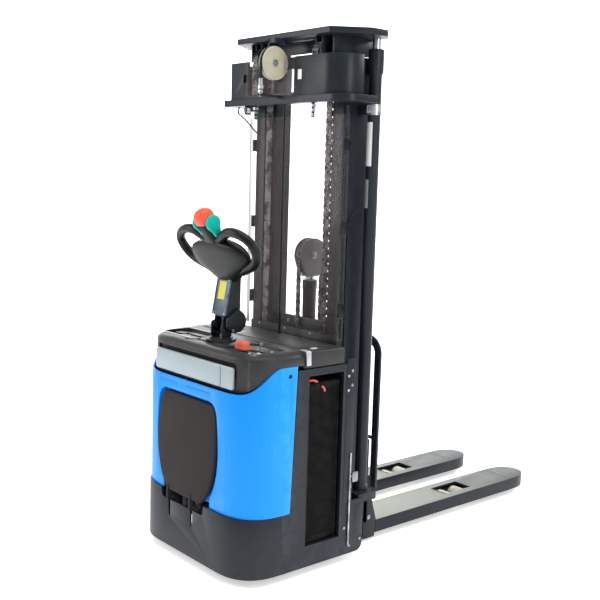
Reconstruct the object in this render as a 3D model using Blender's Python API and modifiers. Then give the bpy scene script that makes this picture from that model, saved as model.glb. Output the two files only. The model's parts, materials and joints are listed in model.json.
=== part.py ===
"""Ride-on stacker: a stand-on pallet stacker with a three-stage mast.

Metres, +Z up. +X is the operator's right, +Y points to the fork tips.
Sizes are written from the fork heel (y = 0). The empty "frame_origin" then moves
the whole machine so that the middle of its footprint stands on the world origin.
"""
import math

import bmesh
import bpy
from mathutils import Matrix, Vector

# Driving dimensions
FORK_LENGTH = 1.150
FORK_WIDTH = 0.180
FORK_SPREAD = 0.570
FORK_TOP = 0.088
REAR = -0.8353
HALF_WIDTH = 0.391
SKIRT_BOTTOM = 0.032
SKIRT_TOP = 0.277
SKIRT_REAR = -0.826
SEAM = -0.637
COVER_REAR = -0.818
DECK = 0.925
MAST_HEIGHT = 2.195
OUTER_TOP = 1.934
FLOOR_TOP = 0.1185
STAGE_LOW = 0.122
COLUMN = Vector((0.0, -0.665, 0.0))
TILLER_PIVOT = Vector((0.0, -0.665, 0.992))
GAP = 0.0003
ROUND = 24


def clear_scene():
    for obj in list(bpy.data.objects):
        bpy.data.objects.remove(obj, do_unlink=True)


clear_scene()
PARTS = bpy.data.collections.new("ride_on_stacker")
CUTTERS = bpy.data.collections.new("cutters")
bpy.context.scene.collection.children.link(PARTS)
bpy.context.scene.collection.children.link(CUTTERS)


# ---------------------------------------------------------------- materials
def material(name, colour, roughness, metallic=0.0):
    made = bpy.data.materials.new(name)
    made.use_nodes = True
    shader = made.node_tree.nodes["Principled BSDF"]
    shader.inputs["Base Color"].default_value = (*colour, 1.0)
    shader.inputs["Roughness"].default_value = roughness
    shader.inputs["Metallic"].default_value = metallic
    return made


FRAME_PAINT = ("frame_paint", (0.023, 0.027, 0.034), 0.38, 0.1)
BLUE = ("blue_cover", (0.006, 0.33, 1.0), 0.35, 0.0)
DARK_PLASTIC = ("dark_plastic", (0.07, 0.07, 0.075), 0.4, 0.0)
SILVER_PLASTIC = ("silver_plastic", (0.45, 0.52, 0.56), 0.35, 0.3)
FORK_PAINT = ("fork_paint", (0.12, 0.14, 0.13), 0.42, 0.1)
CHROME = ("chrome", (0.8, 0.82, 0.85), 0.12, 1.0)
STEEL = ("steel", (0.5, 0.52, 0.54), 0.3, 1.0)
CHAIN_STEEL = ("chain_steel", (0.05, 0.05, 0.055), 0.45, 0.8)
RUBBER = ("rubber", (0.02, 0.02, 0.02), 0.8, 0.0)
CREAM = ("cream_nylon", (0.62, 0.62, 0.5), 0.4, 0.0)
CLEAR = ("clear_sheet", (0.85, 0.85, 0.86), 0.08, 0.0)
RED = ("red_plastic", (1.0, 0.12, 0.05), 0.4, 0.0)
TEAL = ("teal_plastic", (0.0, 0.6, 0.48), 0.4, 0.0)
HANDLE = ("handle_plastic", (0.015, 0.016, 0.017), 0.5, 0.0)
CASTING = ("casting", (0.18, 0.18, 0.19), 0.6, 0.6)
MADE = {}


def finish(spec):
    name = spec[0]
    if name not in MADE:
        MADE[name] = material(*spec)
    return MADE[name]


# ---------------------------------------------------------------- bodies
PIVOT = {}
EMPTY = {}


def body(name, pivot, parent=None):
    """An empty on the joint's axis; every piece of the body is its child."""
    empty = bpy.data.objects.new(name, None)
    empty.empty_display_size = 0.05
    PARTS.objects.link(empty)
    PIVOT[name] = Vector(pivot)
    EMPTY[name] = empty
    if parent:
        empty.parent = EMPTY[parent]
        empty.location = PIVOT[name] - PIVOT[parent]
    else:
        empty.location = Vector((0.0, -(FORK_LENGTH + REAR) / 2, 0.0))
    return name


def put(obj, owner, spec=None, cutter=False):
    (CUTTERS if cutter else PARTS).objects.link(obj)
    obj.parent = EMPTY[owner]
    if cutter:
        obj.hide_render = True
        obj.display_type = "WIRE"
    if spec:
        obj.data.materials.append(finish(spec))
    return obj


# ---------------------------------------------------------------- shapes
def smooth(mesh, angle=35.0):
    mesh.shade_smooth()
    mesh.set_sharp_from_angle(angle=math.radians(angle))


def box(name, low, high, owner, spec=None, bevel=0.0, cutter=False):
    """A box from its lowest to its highest corner."""
    low, high = Vector(low), Vector(high)
    grid = bmesh.new()
    bmesh.ops.create_cube(grid, size=1.0)
    bmesh.ops.scale(grid, vec=high - low, verts=grid.verts)
    bmesh.ops.translate(grid, vec=(low + high) / 2 - PIVOT[owner], verts=grid.verts)
    mesh = bpy.data.meshes.new(name)
    grid.to_mesh(mesh)
    grid.free()
    obj = put(bpy.data.objects.new(name, mesh), owner, spec, cutter)
    if bevel:
        edge = obj.modifiers.new("edges", "BEVEL")
        edge.width = bevel
        edge.segments = 2
    return obj


AXES = {
    "z": Matrix(((1, 0, 0), (0, 1, 0), (0, 0, 1))),
    "x": Matrix(((0, 0, 1), (1, 0, 0), (0, 1, 0))),
    "y": Matrix(((1, 0, 0), (0, 0, -1), (0, 1, 0))),
}


def plate(name, outline, axis, low, high, owner, spec=None, bevel=0.0, cutter=False):
    """A flat outline pushed along an axis: (x, y) for z, (y, z) for x, (x, z) for y."""
    curve = bpy.data.curves.new(name, "CURVE")
    curve.dimensions = "2D"
    curve.fill_mode = "BOTH"
    curve.extrude = (high - low) / 2
    spline = curve.splines.new("POLY")
    spline.points.add(len(outline) - 1)
    for point, (u, v) in zip(spline.points, outline):
        point.co = (u, v, 0.0, 1.0)
    spline.use_cyclic_u = True
    mesh = curve_mesh(name, curve)
    middle = Vector((0.0, 0.0, (low + high) / 2))
    turn = AXES[axis]
    mesh.transform(Matrix.Translation(turn @ middle - PIVOT[owner]) @ turn.to_4x4())
    obj = put(bpy.data.objects.new(name, mesh), owner, spec, cutter)
    if bevel:
        edge = obj.modifiers.new("edges", "BEVEL")
        edge.width = bevel
        edge.segments = 2
        edge.limit_method = "ANGLE"
        edge.angle_limit = math.radians(40)
    return obj


def curve_mesh(name, curve):
    """The closed mesh of a curve, with its caps welded on."""
    guide = bpy.data.objects.new(name + "_guide", curve)
    bpy.context.scene.collection.objects.link(guide)
    seen = guide.evaluated_get(bpy.context.evaluated_depsgraph_get())
    mesh = bpy.data.meshes.new_from_object(seen)
    bpy.data.objects.remove(guide, do_unlink=True)
    grid = bmesh.new()
    grid.from_mesh(mesh)
    bmesh.ops.remove_doubles(grid, verts=grid.verts, dist=0.00001)
    bmesh.ops.recalc_face_normals(grid, faces=grid.faces)
    grid.to_mesh(mesh)
    grid.free()
    mesh.name = name
    return mesh


def tube(name, points, radius, owner, spec=None, cyclic=False, sides=2, cutter=False):
    """A round bar along a path of points."""
    curve = bpy.data.curves.new(name, "CURVE")
    curve.dimensions = "3D"
    curve.bevel_depth = radius
    curve.bevel_resolution = sides
    curve.use_fill_caps = True
    spline = curve.splines.new("POLY")
    spline.points.add(len(points) - 1)
    for point, place in zip(spline.points, points):
        point.co = (*(Vector(place) - PIVOT[owner]), 1.0)
    spline.use_cyclic_u = cyclic
    mesh = curve_mesh(name, curve)
    smooth(mesh, 50.0)
    return put(bpy.data.objects.new(name, mesh), owner, spec, cutter)


def turned(name, profile, centre, axis, owner, spec=None, ring=False, steps=ROUND,
           cutter=False):
    """A profile of (radius, height) points, top to bottom, spun about an axis."""
    grid = bmesh.new()
    verts = [grid.verts.new((radius, 0.0, height)) for radius, height in profile]
    for first, second in zip(verts, verts[1:]):
        grid.edges.new((first, second))
    if ring:
        grid.edges.new((verts[-1], verts[0]))
    mesh = bpy.data.meshes.new(name)
    grid.to_mesh(mesh)
    grid.free()
    obj = put(bpy.data.objects.new(name, mesh), owner, spec, cutter)
    obj.location = Vector(centre) - PIVOT[owner]
    if axis == "x":
        obj.rotation_euler = (0.0, math.pi / 2, 0.0)
    elif axis == "y":
        obj.rotation_euler = (math.pi / 2, 0.0, 0.0)
    screw = obj.modifiers.new("turn", "SCREW")
    screw.steps = steps
    screw.render_steps = steps
    screw.use_merge_vertices = True
    screw.merge_threshold = 0.00001
    screw.use_smooth_shade = True
    return obj


def rod(name, radius, low, high, centre, axis, owner, spec=None, steps=ROUND, cutter=False):
    """A plain round bar from low to high along its axis."""
    profile = [(0.0, high), (radius, high), (radius, low), (0.0, low)]
    return turned(name, profile, centre, axis, owner, spec, steps=steps, cutter=cutter)


def change(obj, other, operation):
    step = obj.modifiers.new(operation.lower(), "BOOLEAN")
    step.operation = operation
    step.object = other
    step.show_render = step.show_viewport
    return obj


def cut(obj, *others):
    for other in others:
        change(obj, other, "DIFFERENCE")
    return obj


def join(obj, *others):
    for other in others:
        change(obj, other, "UNION")
    return obj


def arc(centre, radius, start, end, count):
    """Points on a circle's arc, angles in degrees."""
    points = []
    for step in range(count + 1):
        angle = math.radians(start + (end - start) * step / count)
        points.append((centre[0] + radius * math.cos(angle),
                       centre[1] + radius * math.sin(angle)))
    return points


def wrap(half, rear, front, flat=0.19, power=2.6, count=10):
    """The plan line of a cover: from the right front edge round the back to the left."""
    points = [(half, front)]
    depth = min(0.186, front - rear - 0.001)
    for step in range(count + 1):
        angle = math.pi / 2 * step / count
        x = half - flat + flat * math.cos(angle) ** (2 / power)
        y = rear + depth - depth * math.sin(angle) ** (2 / power)
        points.append((x, y))
    return points + [(-x, y) for x, y in reversed(points)]


def shell_outline(half, rear, front, wall):
    outer = wrap(half, rear, front)
    inner = wrap(half - wall, rear + wall, front)
    return outer + list(reversed(inner))


def mirrored(side, low, high):
    """Box corners for the right side, or mirrored for the left."""
    if side > 0:
        return low, high
    return (-high[0], low[1], low[2]), (-low[0], high[1], high[2])


def rounded(low, high, radius, count=4):
    """A rectangle with round corners, as an outline."""
    (x0, y0), (x1, y1) = low, high
    return (arc((x1 - radius, y1 - radius), radius, 0, 90, count)
            + arc((x0 + radius, y1 - radius), radius, 90, 180, count)
            + arc((x0 + radius, y0 + radius), radius, 180, 270, count)
            + arc((x1 - radius, y0 + radius), radius, 270, 360, count))


SIDES = (("left", -1), ("right", 1))

# The tree of moving bodies
body("frame_origin", (0, 0, 0))
body("steering", COLUMN, "frame_origin")
WHEEL_RADIUS = 0.115
body("drive_wheel_axis", (0.0, -0.665, WHEEL_RADIUS), "steering")
body("tiller", TILLER_PIVOT, "steering")
ARM_LOW = 0.950
ARM_TOP = 1.192
LEAN = math.radians(29.0)


def on_head(along, out=0.0):
    """A point of the head's plane: along it from the arm's top, and out to the rear."""
    y = TILLER_PIVOT.y + 0.040 - along * math.sin(LEAN) - out * math.cos(LEAN)
    z = ARM_TOP + along * math.cos(LEAN) - out * math.sin(LEAN)
    return y, z


BUTTERFLY = Vector((0.0, *on_head(0.225)))
BUTTON_SEAT = Vector((0.0, *on_head(0.2496)))
body("butterfly_axis", BUTTERFLY, "tiller")
body("button_slide", BUTTON_SEAT, "tiller")
PLATFORM_PIVOT = Vector((-0.018, -0.815, 0.252))
body("platform_axis", PLATFORM_PIVOT, "frame_origin")
LID_PIVOT = Vector((0.0, -0.322, 0.884))
body("lid_axis", LID_PIVOT, "frame_origin")
body("battery_slide", (0.0, -0.42, 0.4), "frame_origin")
body("latch_slide", (0.3955, -0.277, 0.27), "frame_origin")
CONNECTOR = Vector((0.215, -0.712, DECK))
body("connector_slide", CONNECTOR, "frame_origin")
KEY = Vector((0.258, -0.652, DECK))
body("key_axis", KEY, "frame_origin")
CASTOR_RADIUS = 0.055
for side, sign in SIDES:
    body("castor_" + side, (sign * 0.27, -0.66, 0.14), "frame_origin")
    body("castor_wheel_axis_" + side, (sign * 0.27, -0.69, CASTOR_RADIUS), "castor_" + side)
ROLLER_RADIUS = 0.040
ROLLER_Y = (0.568, 0.668)
for side, sign in SIDES:
    for place, y in zip(("rear", "front"), ROLLER_Y):
        body(f"roller_{side}_{place}_axis", (sign * 0.195, y, ROLLER_RADIUS), "frame_origin")
body("middle_stage", (0.0, -0.205, 0.10), "frame_origin")
body("inner_stage", (0.0, -0.205, 0.10), "middle_stage")
FREE_Y = -0.185
body("free_piston", (0.0, FREE_Y, 1.26), "inner_stage")
body("free_pulley_axis", (0.0, FREE_Y, 1.26), "free_piston")
body("carriage", (0.0, -0.07, 0.2), "inner_stage")
HOSE_WHEEL = Vector((0.0, -0.420, 2.068))
body("hose_wheel_axis", HOSE_WHEEL, "middle_stage")
SHEAVE_Y = -0.3190
SHEAVE_Z = 2.105
SHEAVE_X = 0.197
for side, sign in SIDES:
    body("sheave_axis_" + side, (sign * SHEAVE_X, SHEAVE_Y, SHEAVE_Z), "middle_stage")


# ---------------------------------------------------------------- chassis
BAY_REAR = -0.513
BAY_FRONT = -0.328
BAY_LOW = 0.120
BAY_HIGH = 0.823
SIDE_WALL = 0.012
CHASSIS_FRONT = -0.190


def side_frame(side, sign):
    """The side plate of the chassis."""
    outline = [(SEAM + GAP, SKIRT_BOTTOM), (CHASSIS_FRONT - 0.035, SKIRT_BOTTOM)]
    outline += arc((CHASSIS_FRONT - 0.035, SKIRT_BOTTOM + 0.035), 0.035, 270, 360, 4)[1:]
    outline += [(CHASSIS_FRONT, 0.262), (-0.262, 0.262), (-0.262, 0.852),
                (-0.571, 0.852), (-0.596, SKIRT_TOP + GAP), (SEAM + GAP, SKIRT_TOP + GAP)]
    low, high = sorted((sign * (HALF_WIDTH - SIDE_WALL), sign * HALF_WIDTH))
    return plate("side_frame_" + side, outline, "x", low, high, "frame_origin", cutter=True)


def chassis():
    """The welded chassis: floor, bay walls, drive deck, side plates and cylinder feet."""
    inner = HALF_WIDTH - 0.006
    frame = box("chassis_frame", (-inner, -0.53, 0.06),
                (inner, CHASSIS_FRONT - 0.002, FLOOR_TOP), "frame_origin", FRAME_PAINT)
    rear = box("bay_wall_rear", (-inner, -0.535, 0.07), (inner, -0.523, 0.846),
               "frame_origin", cutter=True)
    front = box("bay_wall_front", (-inner, -0.318, 0.07), (inner, -0.306, 0.846),
                "frame_origin", cutter=True)
    deck = box("drive_deck", (-0.33, -0.745, 0.262), (0.33, -0.53, 0.274), "frame_origin",
               cutter=True)
    hole = rod("drive_deck_hole", 0.118, -0.1, 0.1, (0.0, -0.665, 0.268), "z",
               "frame_origin", cutter=True)
    cut(deck, hole)
    join(frame, rear, front, deck)
    for side, sign in SIDES:
        low, high = mirrored(sign, (0.285 + GAP, -0.215, 0.240), (0.388, -0.112, 0.2747))
        foot = box("cylinder_foot_" + side, low, high, "frame_origin", cutter=True)
        join(frame, side_frame(side, sign), foot)
    door = box("battery_doorway", (0.3, BAY_REAR, BAY_LOW), (0.42, BAY_FRONT, BAY_HIGH),
               "frame_origin", cutter=True)
    cut(frame, door)
    guide = box("latch_guide", (0.389, -0.262, 0.345), (0.3995, -0.240, 0.385),
                "frame_origin", cutter=True)
    join(frame, guide)


def skirt():
    """The bent steel bumper round the drive unit."""
    outline = shell_outline(HALF_WIDTH, SKIRT_REAR, SEAM, 0.008)
    wall = plate("rear_skirt", outline, "z", SKIRT_BOTTOM, SKIRT_TOP, "frame_origin",
                 FRAME_PAINT)
    dip = box("skirt_dip", (-0.19, -0.9, 0.237), (0.12, -0.7, 0.4), "frame_origin",
              cutter=True)
    cut(wall, dip)
    for name, x in (("slot_a", ARM_X[0]), ("slot_b", ARM_X[1])):
        slot = box(name, (x - 0.008, -0.9, 0.16), (x + 0.008, -0.7, 0.3), "frame_origin",
                   cutter=True)
        cut(wall, slot)


ARM_X = (-0.128, 0.035)
chassis()
skirt()


# ---------------------------------------------------------------- covers
def below_line(name, lift):
    """Everything under the line where the blue cover meets the dark top."""
    outline = [(-0.95, 0.0), (-0.3, 0.0), (-0.3, 0.872 + lift)]
    high, low, start, end = 0.870, 0.768, -0.660, -0.800
    for step in range(13):
        share = step / 12
        ease = share * share * (3 - 2 * share)
        outline.append((start + (end - start) * share, high + (low - high) * ease + lift))
    outline.append((-0.95, low + lift))
    return plate(name, outline, "x", -0.5, 0.5, "frame_origin", cutter=True)


def drive_cover():
    """The blue moulded hood, open towards the battery."""
    outline = shell_outline(HALF_WIDTH, COVER_REAR, -0.60, 0.006)
    hood = plate("drive_cover", outline, "z", SKIRT_TOP + GAP, 0.90, "frame_origin", BLUE)
    change(hood, below_line("cover_line", 0.0), "INTERSECT")
    liner = box("recess_liner", (-0.228, COVER_REAR + 0.003, SKIRT_TOP + 0.004),
                (0.192, -0.779, 0.741), "frame_origin", cutter=True)
    recess = box("recess", (-0.222, -0.95, 0.2), (0.186, -0.785, 0.735), "frame_origin",
                 cutter=True)
    join(hood, liner)
    cut(hood, recess)
    edge = plate("cover_front_cut", [(-0.572, 0.95), (-0.6003, 0.2), (-0.4, 0.2),
                                     (-0.4, 0.95)],
                 "x", -0.5, 0.5, "frame_origin", cutter=True)
    cut(hood, edge)


def top_cover():
    """The dark moulded top, with the well that the tiller stands in."""
    outer = wrap(HALF_WIDTH, -0.794, -0.5455)
    top = plate("top_cover", outer, "z", 0.74, DECK, "frame_origin", DARK_PLASTIC,
                bevel=0.012)
    inner = plate("top_inside", wrap(HALF_WIDTH - 0.006, -0.788, -0.3), "z", 0.5,
                  DECK - 0.006, "frame_origin", cutter=True)
    opening = rod("tiller_well", 0.060, -0.1, 0.1, (0.0, -0.665, DECK), "z",
                  "frame_origin", cutter=True)
    cut(top, inner, below_line("top_line", GAP), opening)
    step = box("top_step", (-0.5, -0.60, 0.5), (0.5, -0.5, 0.8705), "frame_origin",
               cutter=True)
    cut(top, step)


def rear_panel():
    box("rear_panel", (-0.273, -0.810, 0.780), (0.273, -0.7945, 0.870), "frame_origin",
        SILVER_PLASTIC, bevel=0.004)


def battery_lid():
    """The lid over the battery: a tray turned upside down."""
    lid = box("battery_lid", (-0.39, -0.5425, 0.853), (0.39, -0.322, 0.923), "lid_axis",
              DARK_PLASTIC, bevel=0.006)
    room = box("lid_room", (-0.37, -0.5385, 0.80), (0.37, -0.326, 0.915), "lid_axis",
               cutter=True)
    cut(lid, room)
    catch = box("lid_catch", (0.385, -0.535, 0.868), (0.3960, -0.515, 0.921), "lid_axis",
                cutter=True)
    join(lid, catch)


drive_cover()
top_cover()
rear_panel()
battery_lid()


# ---------------------------------------------------------------- battery
def battery():
    box("battery", (-0.34, -0.507, BAY_LOW + 0.0005), (0.372, -0.3305, 0.79),
        "battery_slide", DARK_PLASTIC, bevel=0.004)


def latch():
    """The spring rod that locks the battery in its bay."""
    tube("latch_rod", [(0.3955, -0.277, 0.075), (0.3955, -0.277, 0.476)], 0.004,
         "latch_slide", STEEL)


battery()
latch()


# ---------------------------------------------------------------- drive unit
def drive_unit():
    """Gear case, motor and brake, which turn with the tiller."""
    case = box("drive_unit", (-0.105, -0.720, 0.16), (-0.045, -0.610, 0.257), "steering",
               CASTING, bevel=0.012)
    arm = box("gear_case_leg", (-0.105, -0.705, 0.075), (-0.045, -0.625, 0.17), "steering",
              cutter=True)
    bridge = box("gear_case_top", (-0.104, -0.715, 0.236), (0.05, -0.615, 0.2565), "steering",
                 cutter=True)
    neck = rod("gear_case_neck", 0.075, 0.25, 0.300, COLUMN, "z", "steering", cutter=True)
    motor = rod("drive_motor", 0.078, 0.290, 0.52, COLUMN, "z", "steering", cutter=True)
    brake = rod("motor_brake", 0.060, 0.51, 0.57, COLUMN, "z", "steering", cutter=True)
    join(case, arm, bridge, neck, motor, brake)


def drive_wheel():
    profile = [(0.0, 0.036), (WHEEL_RADIUS - 0.006, 0.036), (WHEEL_RADIUS, 0.030),
               (WHEEL_RADIUS, -0.030), (WHEEL_RADIUS - 0.006, -0.036), (0.030, -0.036),
               (0.030, -0.0447), (0.0, -0.0447)]
    turned("drive_wheel", profile, (0.0, -0.665, WHEEL_RADIUS), "x", "drive_wheel_axis",
           RUBBER, steps=36)


def castors():
    for side, sign in SIDES:
        x = sign * 0.27
        fork = box("castor_fork_" + side, (x - 0.032, -0.715, 0.1155), (x + 0.032, -0.64, 0.128),
                   "castor_" + side, STEEL)
        cheeks = []
        for place, offset in (("a", -0.032), ("b", 0.026)):
            cheek = box(f"castor_cheek_{side}_{place}", (x + offset, -0.71, 0.035),
                        (x + offset + 0.006, -0.655, 0.12), "castor_" + side, cutter=True)
            cheeks.append(cheek)
        stem = rod("castor_stem_" + side, 0.018, 0.12, 0.2617, (x, -0.66, 0.0), "z",
                   "castor_" + side, cutter=True)
        join(fork, *cheeks, stem)
        profile = [(0.0, 0.0225), (0.05, 0.0225), (CASTOR_RADIUS, 0.0175),
                   (CASTOR_RADIUS, -0.0175), (0.05, -0.0225), (0.0, -0.0225)]
        turned("castor_wheel_" + side, profile, (x, -0.69, CASTOR_RADIUS), "x",
               "castor_wheel_axis_" + side, RUBBER)


def hydraulics():
    """Power pack, an oil tank on its pump motor, and the controller under the hood."""
    pack = box("power_pack", (-0.34, -0.69, 0.40), (-0.15, -0.58, 0.62), "frame_origin",
               DARK_PLASTIC, bevel=0.01)
    pump = rod("pump_motor", 0.052, 0.2743, 0.41, (-0.25, -0.635, 0.0), "z", "frame_origin",
               cutter=True)
    join(pack, pump)
    box("controller", (0.10, -0.57, 0.50), (0.34, -0.5355, 0.72), "frame_origin",
        CASTING, bevel=0.004)


drive_unit()
drive_wheel()
castors()
hydraulics()


# ---------------------------------------------------------------- tiller
def yoke():
    """The steering column with its swivel bracket: a disc with two cheeks."""
    base = rod("steering_column", 0.030, 0.5703, 0.932, COLUMN, "z", "steering",
               FRAME_PAINT)
    join(base, rod("yoke_disc", 0.050, 0.927, 0.940, COLUMN, "z", "steering", cutter=True))
    for place, sign in SIDES:
        low, high = mirrored(sign, (0.0325, -0.690, 0.935), (0.0405, -0.640, 1.005))
        join(base, box("yoke_cheek_" + place, low, high, "steering", cutter=True))
    pin_hole = rod("yoke_hole", 0.0073, -0.06, 0.06, TILLER_PIVOT, "x", "steering", steps=16,
                   cutter=True)
    cut(base, pin_hole)


def arm():
    """The tiller arm: a channel with a grey front plate and a side cover."""
    side = [(-0.684, ARM_LOW), (-0.684, 0.985), (-0.648, ARM_TOP), (-0.602, ARM_TOP),
            (-0.602, 1.050), (-0.632, 1.000), (-0.640, ARM_LOW)]
    bar = plate("tiller_arm", side, "x", -0.046, 0.046, "tiller", FRAME_PAINT)
    for place, sign in SIDES:
        low, high = mirrored(sign, (0.032, -0.75, 0.9), (0.06, -0.5, 1.028))
        cut(bar, box("arm_step_" + place, low, high, "tiller", cutter=True))
    room = box("arm_room", (-0.024, -0.72, 0.965), (0.024, -0.65, 1.035), "tiller",
               cutter=True)
    pin = rod("tiller_pin", 0.007, -0.046, 0.046, TILLER_PIVOT, "x", "tiller", steps=16,
              cutter=True)
    cut(bar, room, HEAD_CUTTER)
    join(bar, pin)
    disc = [(0.0, 0.014), (0.030, 0.014), (0.036, 0.008), (0.036, -0.006), (0.0, -0.006)]
    turned("arm_side_cover", disc, (0.0533, -0.626, 1.008), "x", "tiller", FRAME_PAINT)


def head():
    """The head housing with its neck for the butterfly and the reverse button."""
    half = [(0.050, -0.012), (0.102, 0.024), (0.164, 0.056), (0.186, 0.092), (0.177, 0.128),
            (0.140, 0.155), (0.095, 0.164), (0.066, 0.163), (0.048, 0.169), (0.038, 0.180),
            (0.034, 0.196), (0.033, 0.243)]
    outline = half + [(-u, v) for u, v in reversed(half)]
    shape = plate("tiller_head", outline, "y", -0.032, 0.032, "tiller", HANDLE, bevel=0.010)
    y, z = on_head(0.0)
    turn = Matrix.Rotation(LEAN, 4, "X")
    shape.data.transform(Matrix.Translation(PIVOT["tiller"]))
    shape.data.transform(Matrix.Translation((0.0, y, z)) @ turn)
    shape.data.transform(Matrix.Translation(-PIVOT["tiller"]))
    return shape


def loops():
    """The two handle loops, one each side of the head."""
    route = [(0.014, 0.168), (0.055, 0.177), (0.085, 0.196), (0.120, 0.212), (0.160, 0.214),
             (0.202, 0.203), (0.238, 0.180), (0.253, 0.150), (0.247, 0.117), (0.228, 0.088),
             (0.192, 0.066), (0.135, 0.056)]
    for side, sign in SIDES:
        points = []
        for u, along in route:
            y, z = on_head(along)
            points.append((sign * u, y, z))
        loop = tube("handle_loop_" + side, points, 0.0145, "tiller", HANDLE, sides=3)
        cut(loop, HEAD_CUTTER)


HEAD = head()
HEAD_CUTTER = bpy.data.objects.new("head_room", HEAD.data.copy())
put(HEAD_CUTTER, "tiller", cutter=True)
for corner in HEAD_CUTTER.data.vertices:
    centre = Vector((0.0, *on_head(0.09))) - PIVOT["tiller"]
    corner.co = centre + (corner.co - centre) * 1.008


def controls():
    """Butterfly, reverse button, lift rocker and horn button."""
    flat = [(-0.017, 0.203)] + arc((0.0, 0.250), 0.034, 190, -10, 8) + [(0.017, 0.203)]
    outline = [on_head(along, out) for out, along in flat]
    for side, sign in SIDES:
        low, high = sorted((sign * 0.0375, sign * 0.052))
        WINGS.append(plate("wing_" + side, outline, "x", low, high, "butterfly_axis",
                           cutter=True))
    shaft = rod("butterfly", 0.006, -0.040, 0.040, BUTTERFLY, "x", "butterfly_axis", TEAL,
                steps=16)
    join(shaft, *WINGS)
    shaft_hole = rod("shaft_hole", 0.0065, -0.06, 0.06, BUTTERFLY, "x", "tiller", steps=16,
                     cutter=True)
    cut(HEAD, shaft_hole)
    dome = [(0.0, 0.063), (0.016, 0.061), (0.028, 0.052), (0.0355, 0.037), (0.037, 0.020),
            (0.034, 0.006), (0.027, 0.0), (0.0, 0.0)]
    cap = turned("reverse_button", dome, BUTTON_SEAT, "z", "button_slide", RED)
    cap.rotation_euler = (LEAN, 0.0, 0.0)
    y, z = on_head(0.060, -0.0330)
    body("horn_slide", (0.0, y, z), "tiller")
    horn = rod("horn_button", 0.011, 0.0, 0.007, (0.0, y, z), "y", "horn_slide",
               DARK_PLASTIC, steps=16)
    horn.rotation_euler = (-math.pi / 2 + LEAN, 0.0, 0.0)
    pocket = rod("horn_pocket", 0.0114, -0.006, 0.02, (0.0, y, z), "y", "tiller", steps=16,
                 cutter=True)
    pocket.rotation_euler = horn.rotation_euler
    cut(HEAD, pocket)
    y, z = on_head(0.105, -0.0345)
    body("rocker_axis", (0.0, y, z), "tiller")
    rocker = box("lift_rocker", (-0.022, y, z - 0.011), (0.022, y + 0.008, z + 0.011),
                 "rocker_axis", DARK_PLASTIC, bevel=0.002)
    rocker.rotation_euler = (LEAN, 0.0, 0.0)


WINGS = []
yoke()
arm()
loops()
controls()


# ---------------------------------------------------------------- dashboard
def dashboard():
    """Battery connector and key switch on the deck."""
    box("emergency_connector", (CONNECTOR.x - 0.028, CONNECTOR.y - 0.021, DECK + GAP),
        (CONNECTOR.x + 0.028, CONNECTOR.y + 0.021, DECK + 0.030), "connector_slide", RED,
        bevel=0.004)
    barrel = rod("key_switch", 0.011, GAP, 0.006, KEY, "z", "key_axis", STEEL, steps=16)
    bow = box("key_bow", (KEY.x - 0.002, KEY.y - 0.009, DECK + 0.004),
              (KEY.x + 0.002, KEY.y + 0.009, DECK + 0.028), "key_axis", cutter=True)
    join(barrel, bow)


dashboard()


# ---------------------------------------------------------------- platform
PANEL_LEAN = math.radians(3.0)


def platform():
    """The standing platform, folded up against the hood."""
    outline = rounded((-0.19, 0.03), (0.19, 0.445), 0.03)
    outline = [(x * (0.72 + 0.28 * min(1.0, (v - 0.03) / 0.16)), v) for x, v in outline]
    board = plate("platform", outline, "y", -0.013, 0.013, "platform_axis", DARK_PLASTIC,
                  bevel=0.006)
    mat_outline = [(x * 0.9, 0.02 + v * 0.93) for x, v in outline]
    mat = plate("platform_mat", mat_outline, "y", -0.0155, -0.0120, "platform_axis",
                cutter=True)
    join(board, mat)
    turn = Matrix.Rotation(-PANEL_LEAN, 4, "X")
    for obj, depth in ((board, -0.009), (mat, -0.009)):
        obj.data.transform(Matrix.Translation(PIVOT["platform_axis"]))
        obj.data.transform(turn @ Matrix.Translation((0.0, depth, 0.0)))
    for place, x in zip(("a", "b"), ARM_X):
        x -= PLATFORM_PIVOT.x
        local = box("hinge_arm_" + place, (PLATFORM_PIVOT.x + x - 0.006, -0.833, 0.245),
                    (PLATFORM_PIVOT.x + x + 0.006, -0.812, 0.305), "platform_axis",
                    cutter=True)
        join(board, local)


platform()


# ---------------------------------------------------------------- support legs and forks
LEG_LOW = 0.030
LEG_HIGH = 0.066
FORK_INNER = FORK_SPREAD / 2 - FORK_WIDTH


def support_leg(side, sign):
    """The straddle leg inside the fork, with the two load rollers in its end."""
    low, high = mirrored(sign, (FORK_INNER + 0.022, CHASSIS_FRONT, LEG_LOW),
                         (FORK_SPREAD / 2 - 0.022, 0.745, LEG_HIGH))
    leg = box("support_leg_" + side, low, high, "frame_origin", FRAME_PAINT)
    low, high = mirrored(sign, (0.157, 0.515, 0.0), (0.233, 0.721, 0.2))
    well = box("roller_well_" + side, low, high, "frame_origin", cutter=True)
    cut(leg, well)
    for place, y in zip(("rear", "front"), ROLLER_Y):
        bore = rod(f"axle_bore_{side}_{place}", 0.0083, -0.2, 0.2,
                   (sign * 0.195, y, ROLLER_RADIUS), "x", "frame_origin", steps=12,
                   cutter=True)
        cut(leg, bore)
        owner = f"roller_{side}_{place}_axis"
        wheel = [(0.0, 0.062), (0.008, 0.062), (0.008, 0.034), (0.037, 0.034),
                 (ROLLER_RADIUS, 0.031), (ROLLER_RADIUS, -0.031), (0.037, -0.034),
                 (0.008, -0.034), (0.008, -0.062), (0.0, -0.062)]
        turned(f"load_roller_{side}_{place}", wheel, (sign * 0.195, y, ROLLER_RADIUS), "x",
               owner, CREAM)


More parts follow.
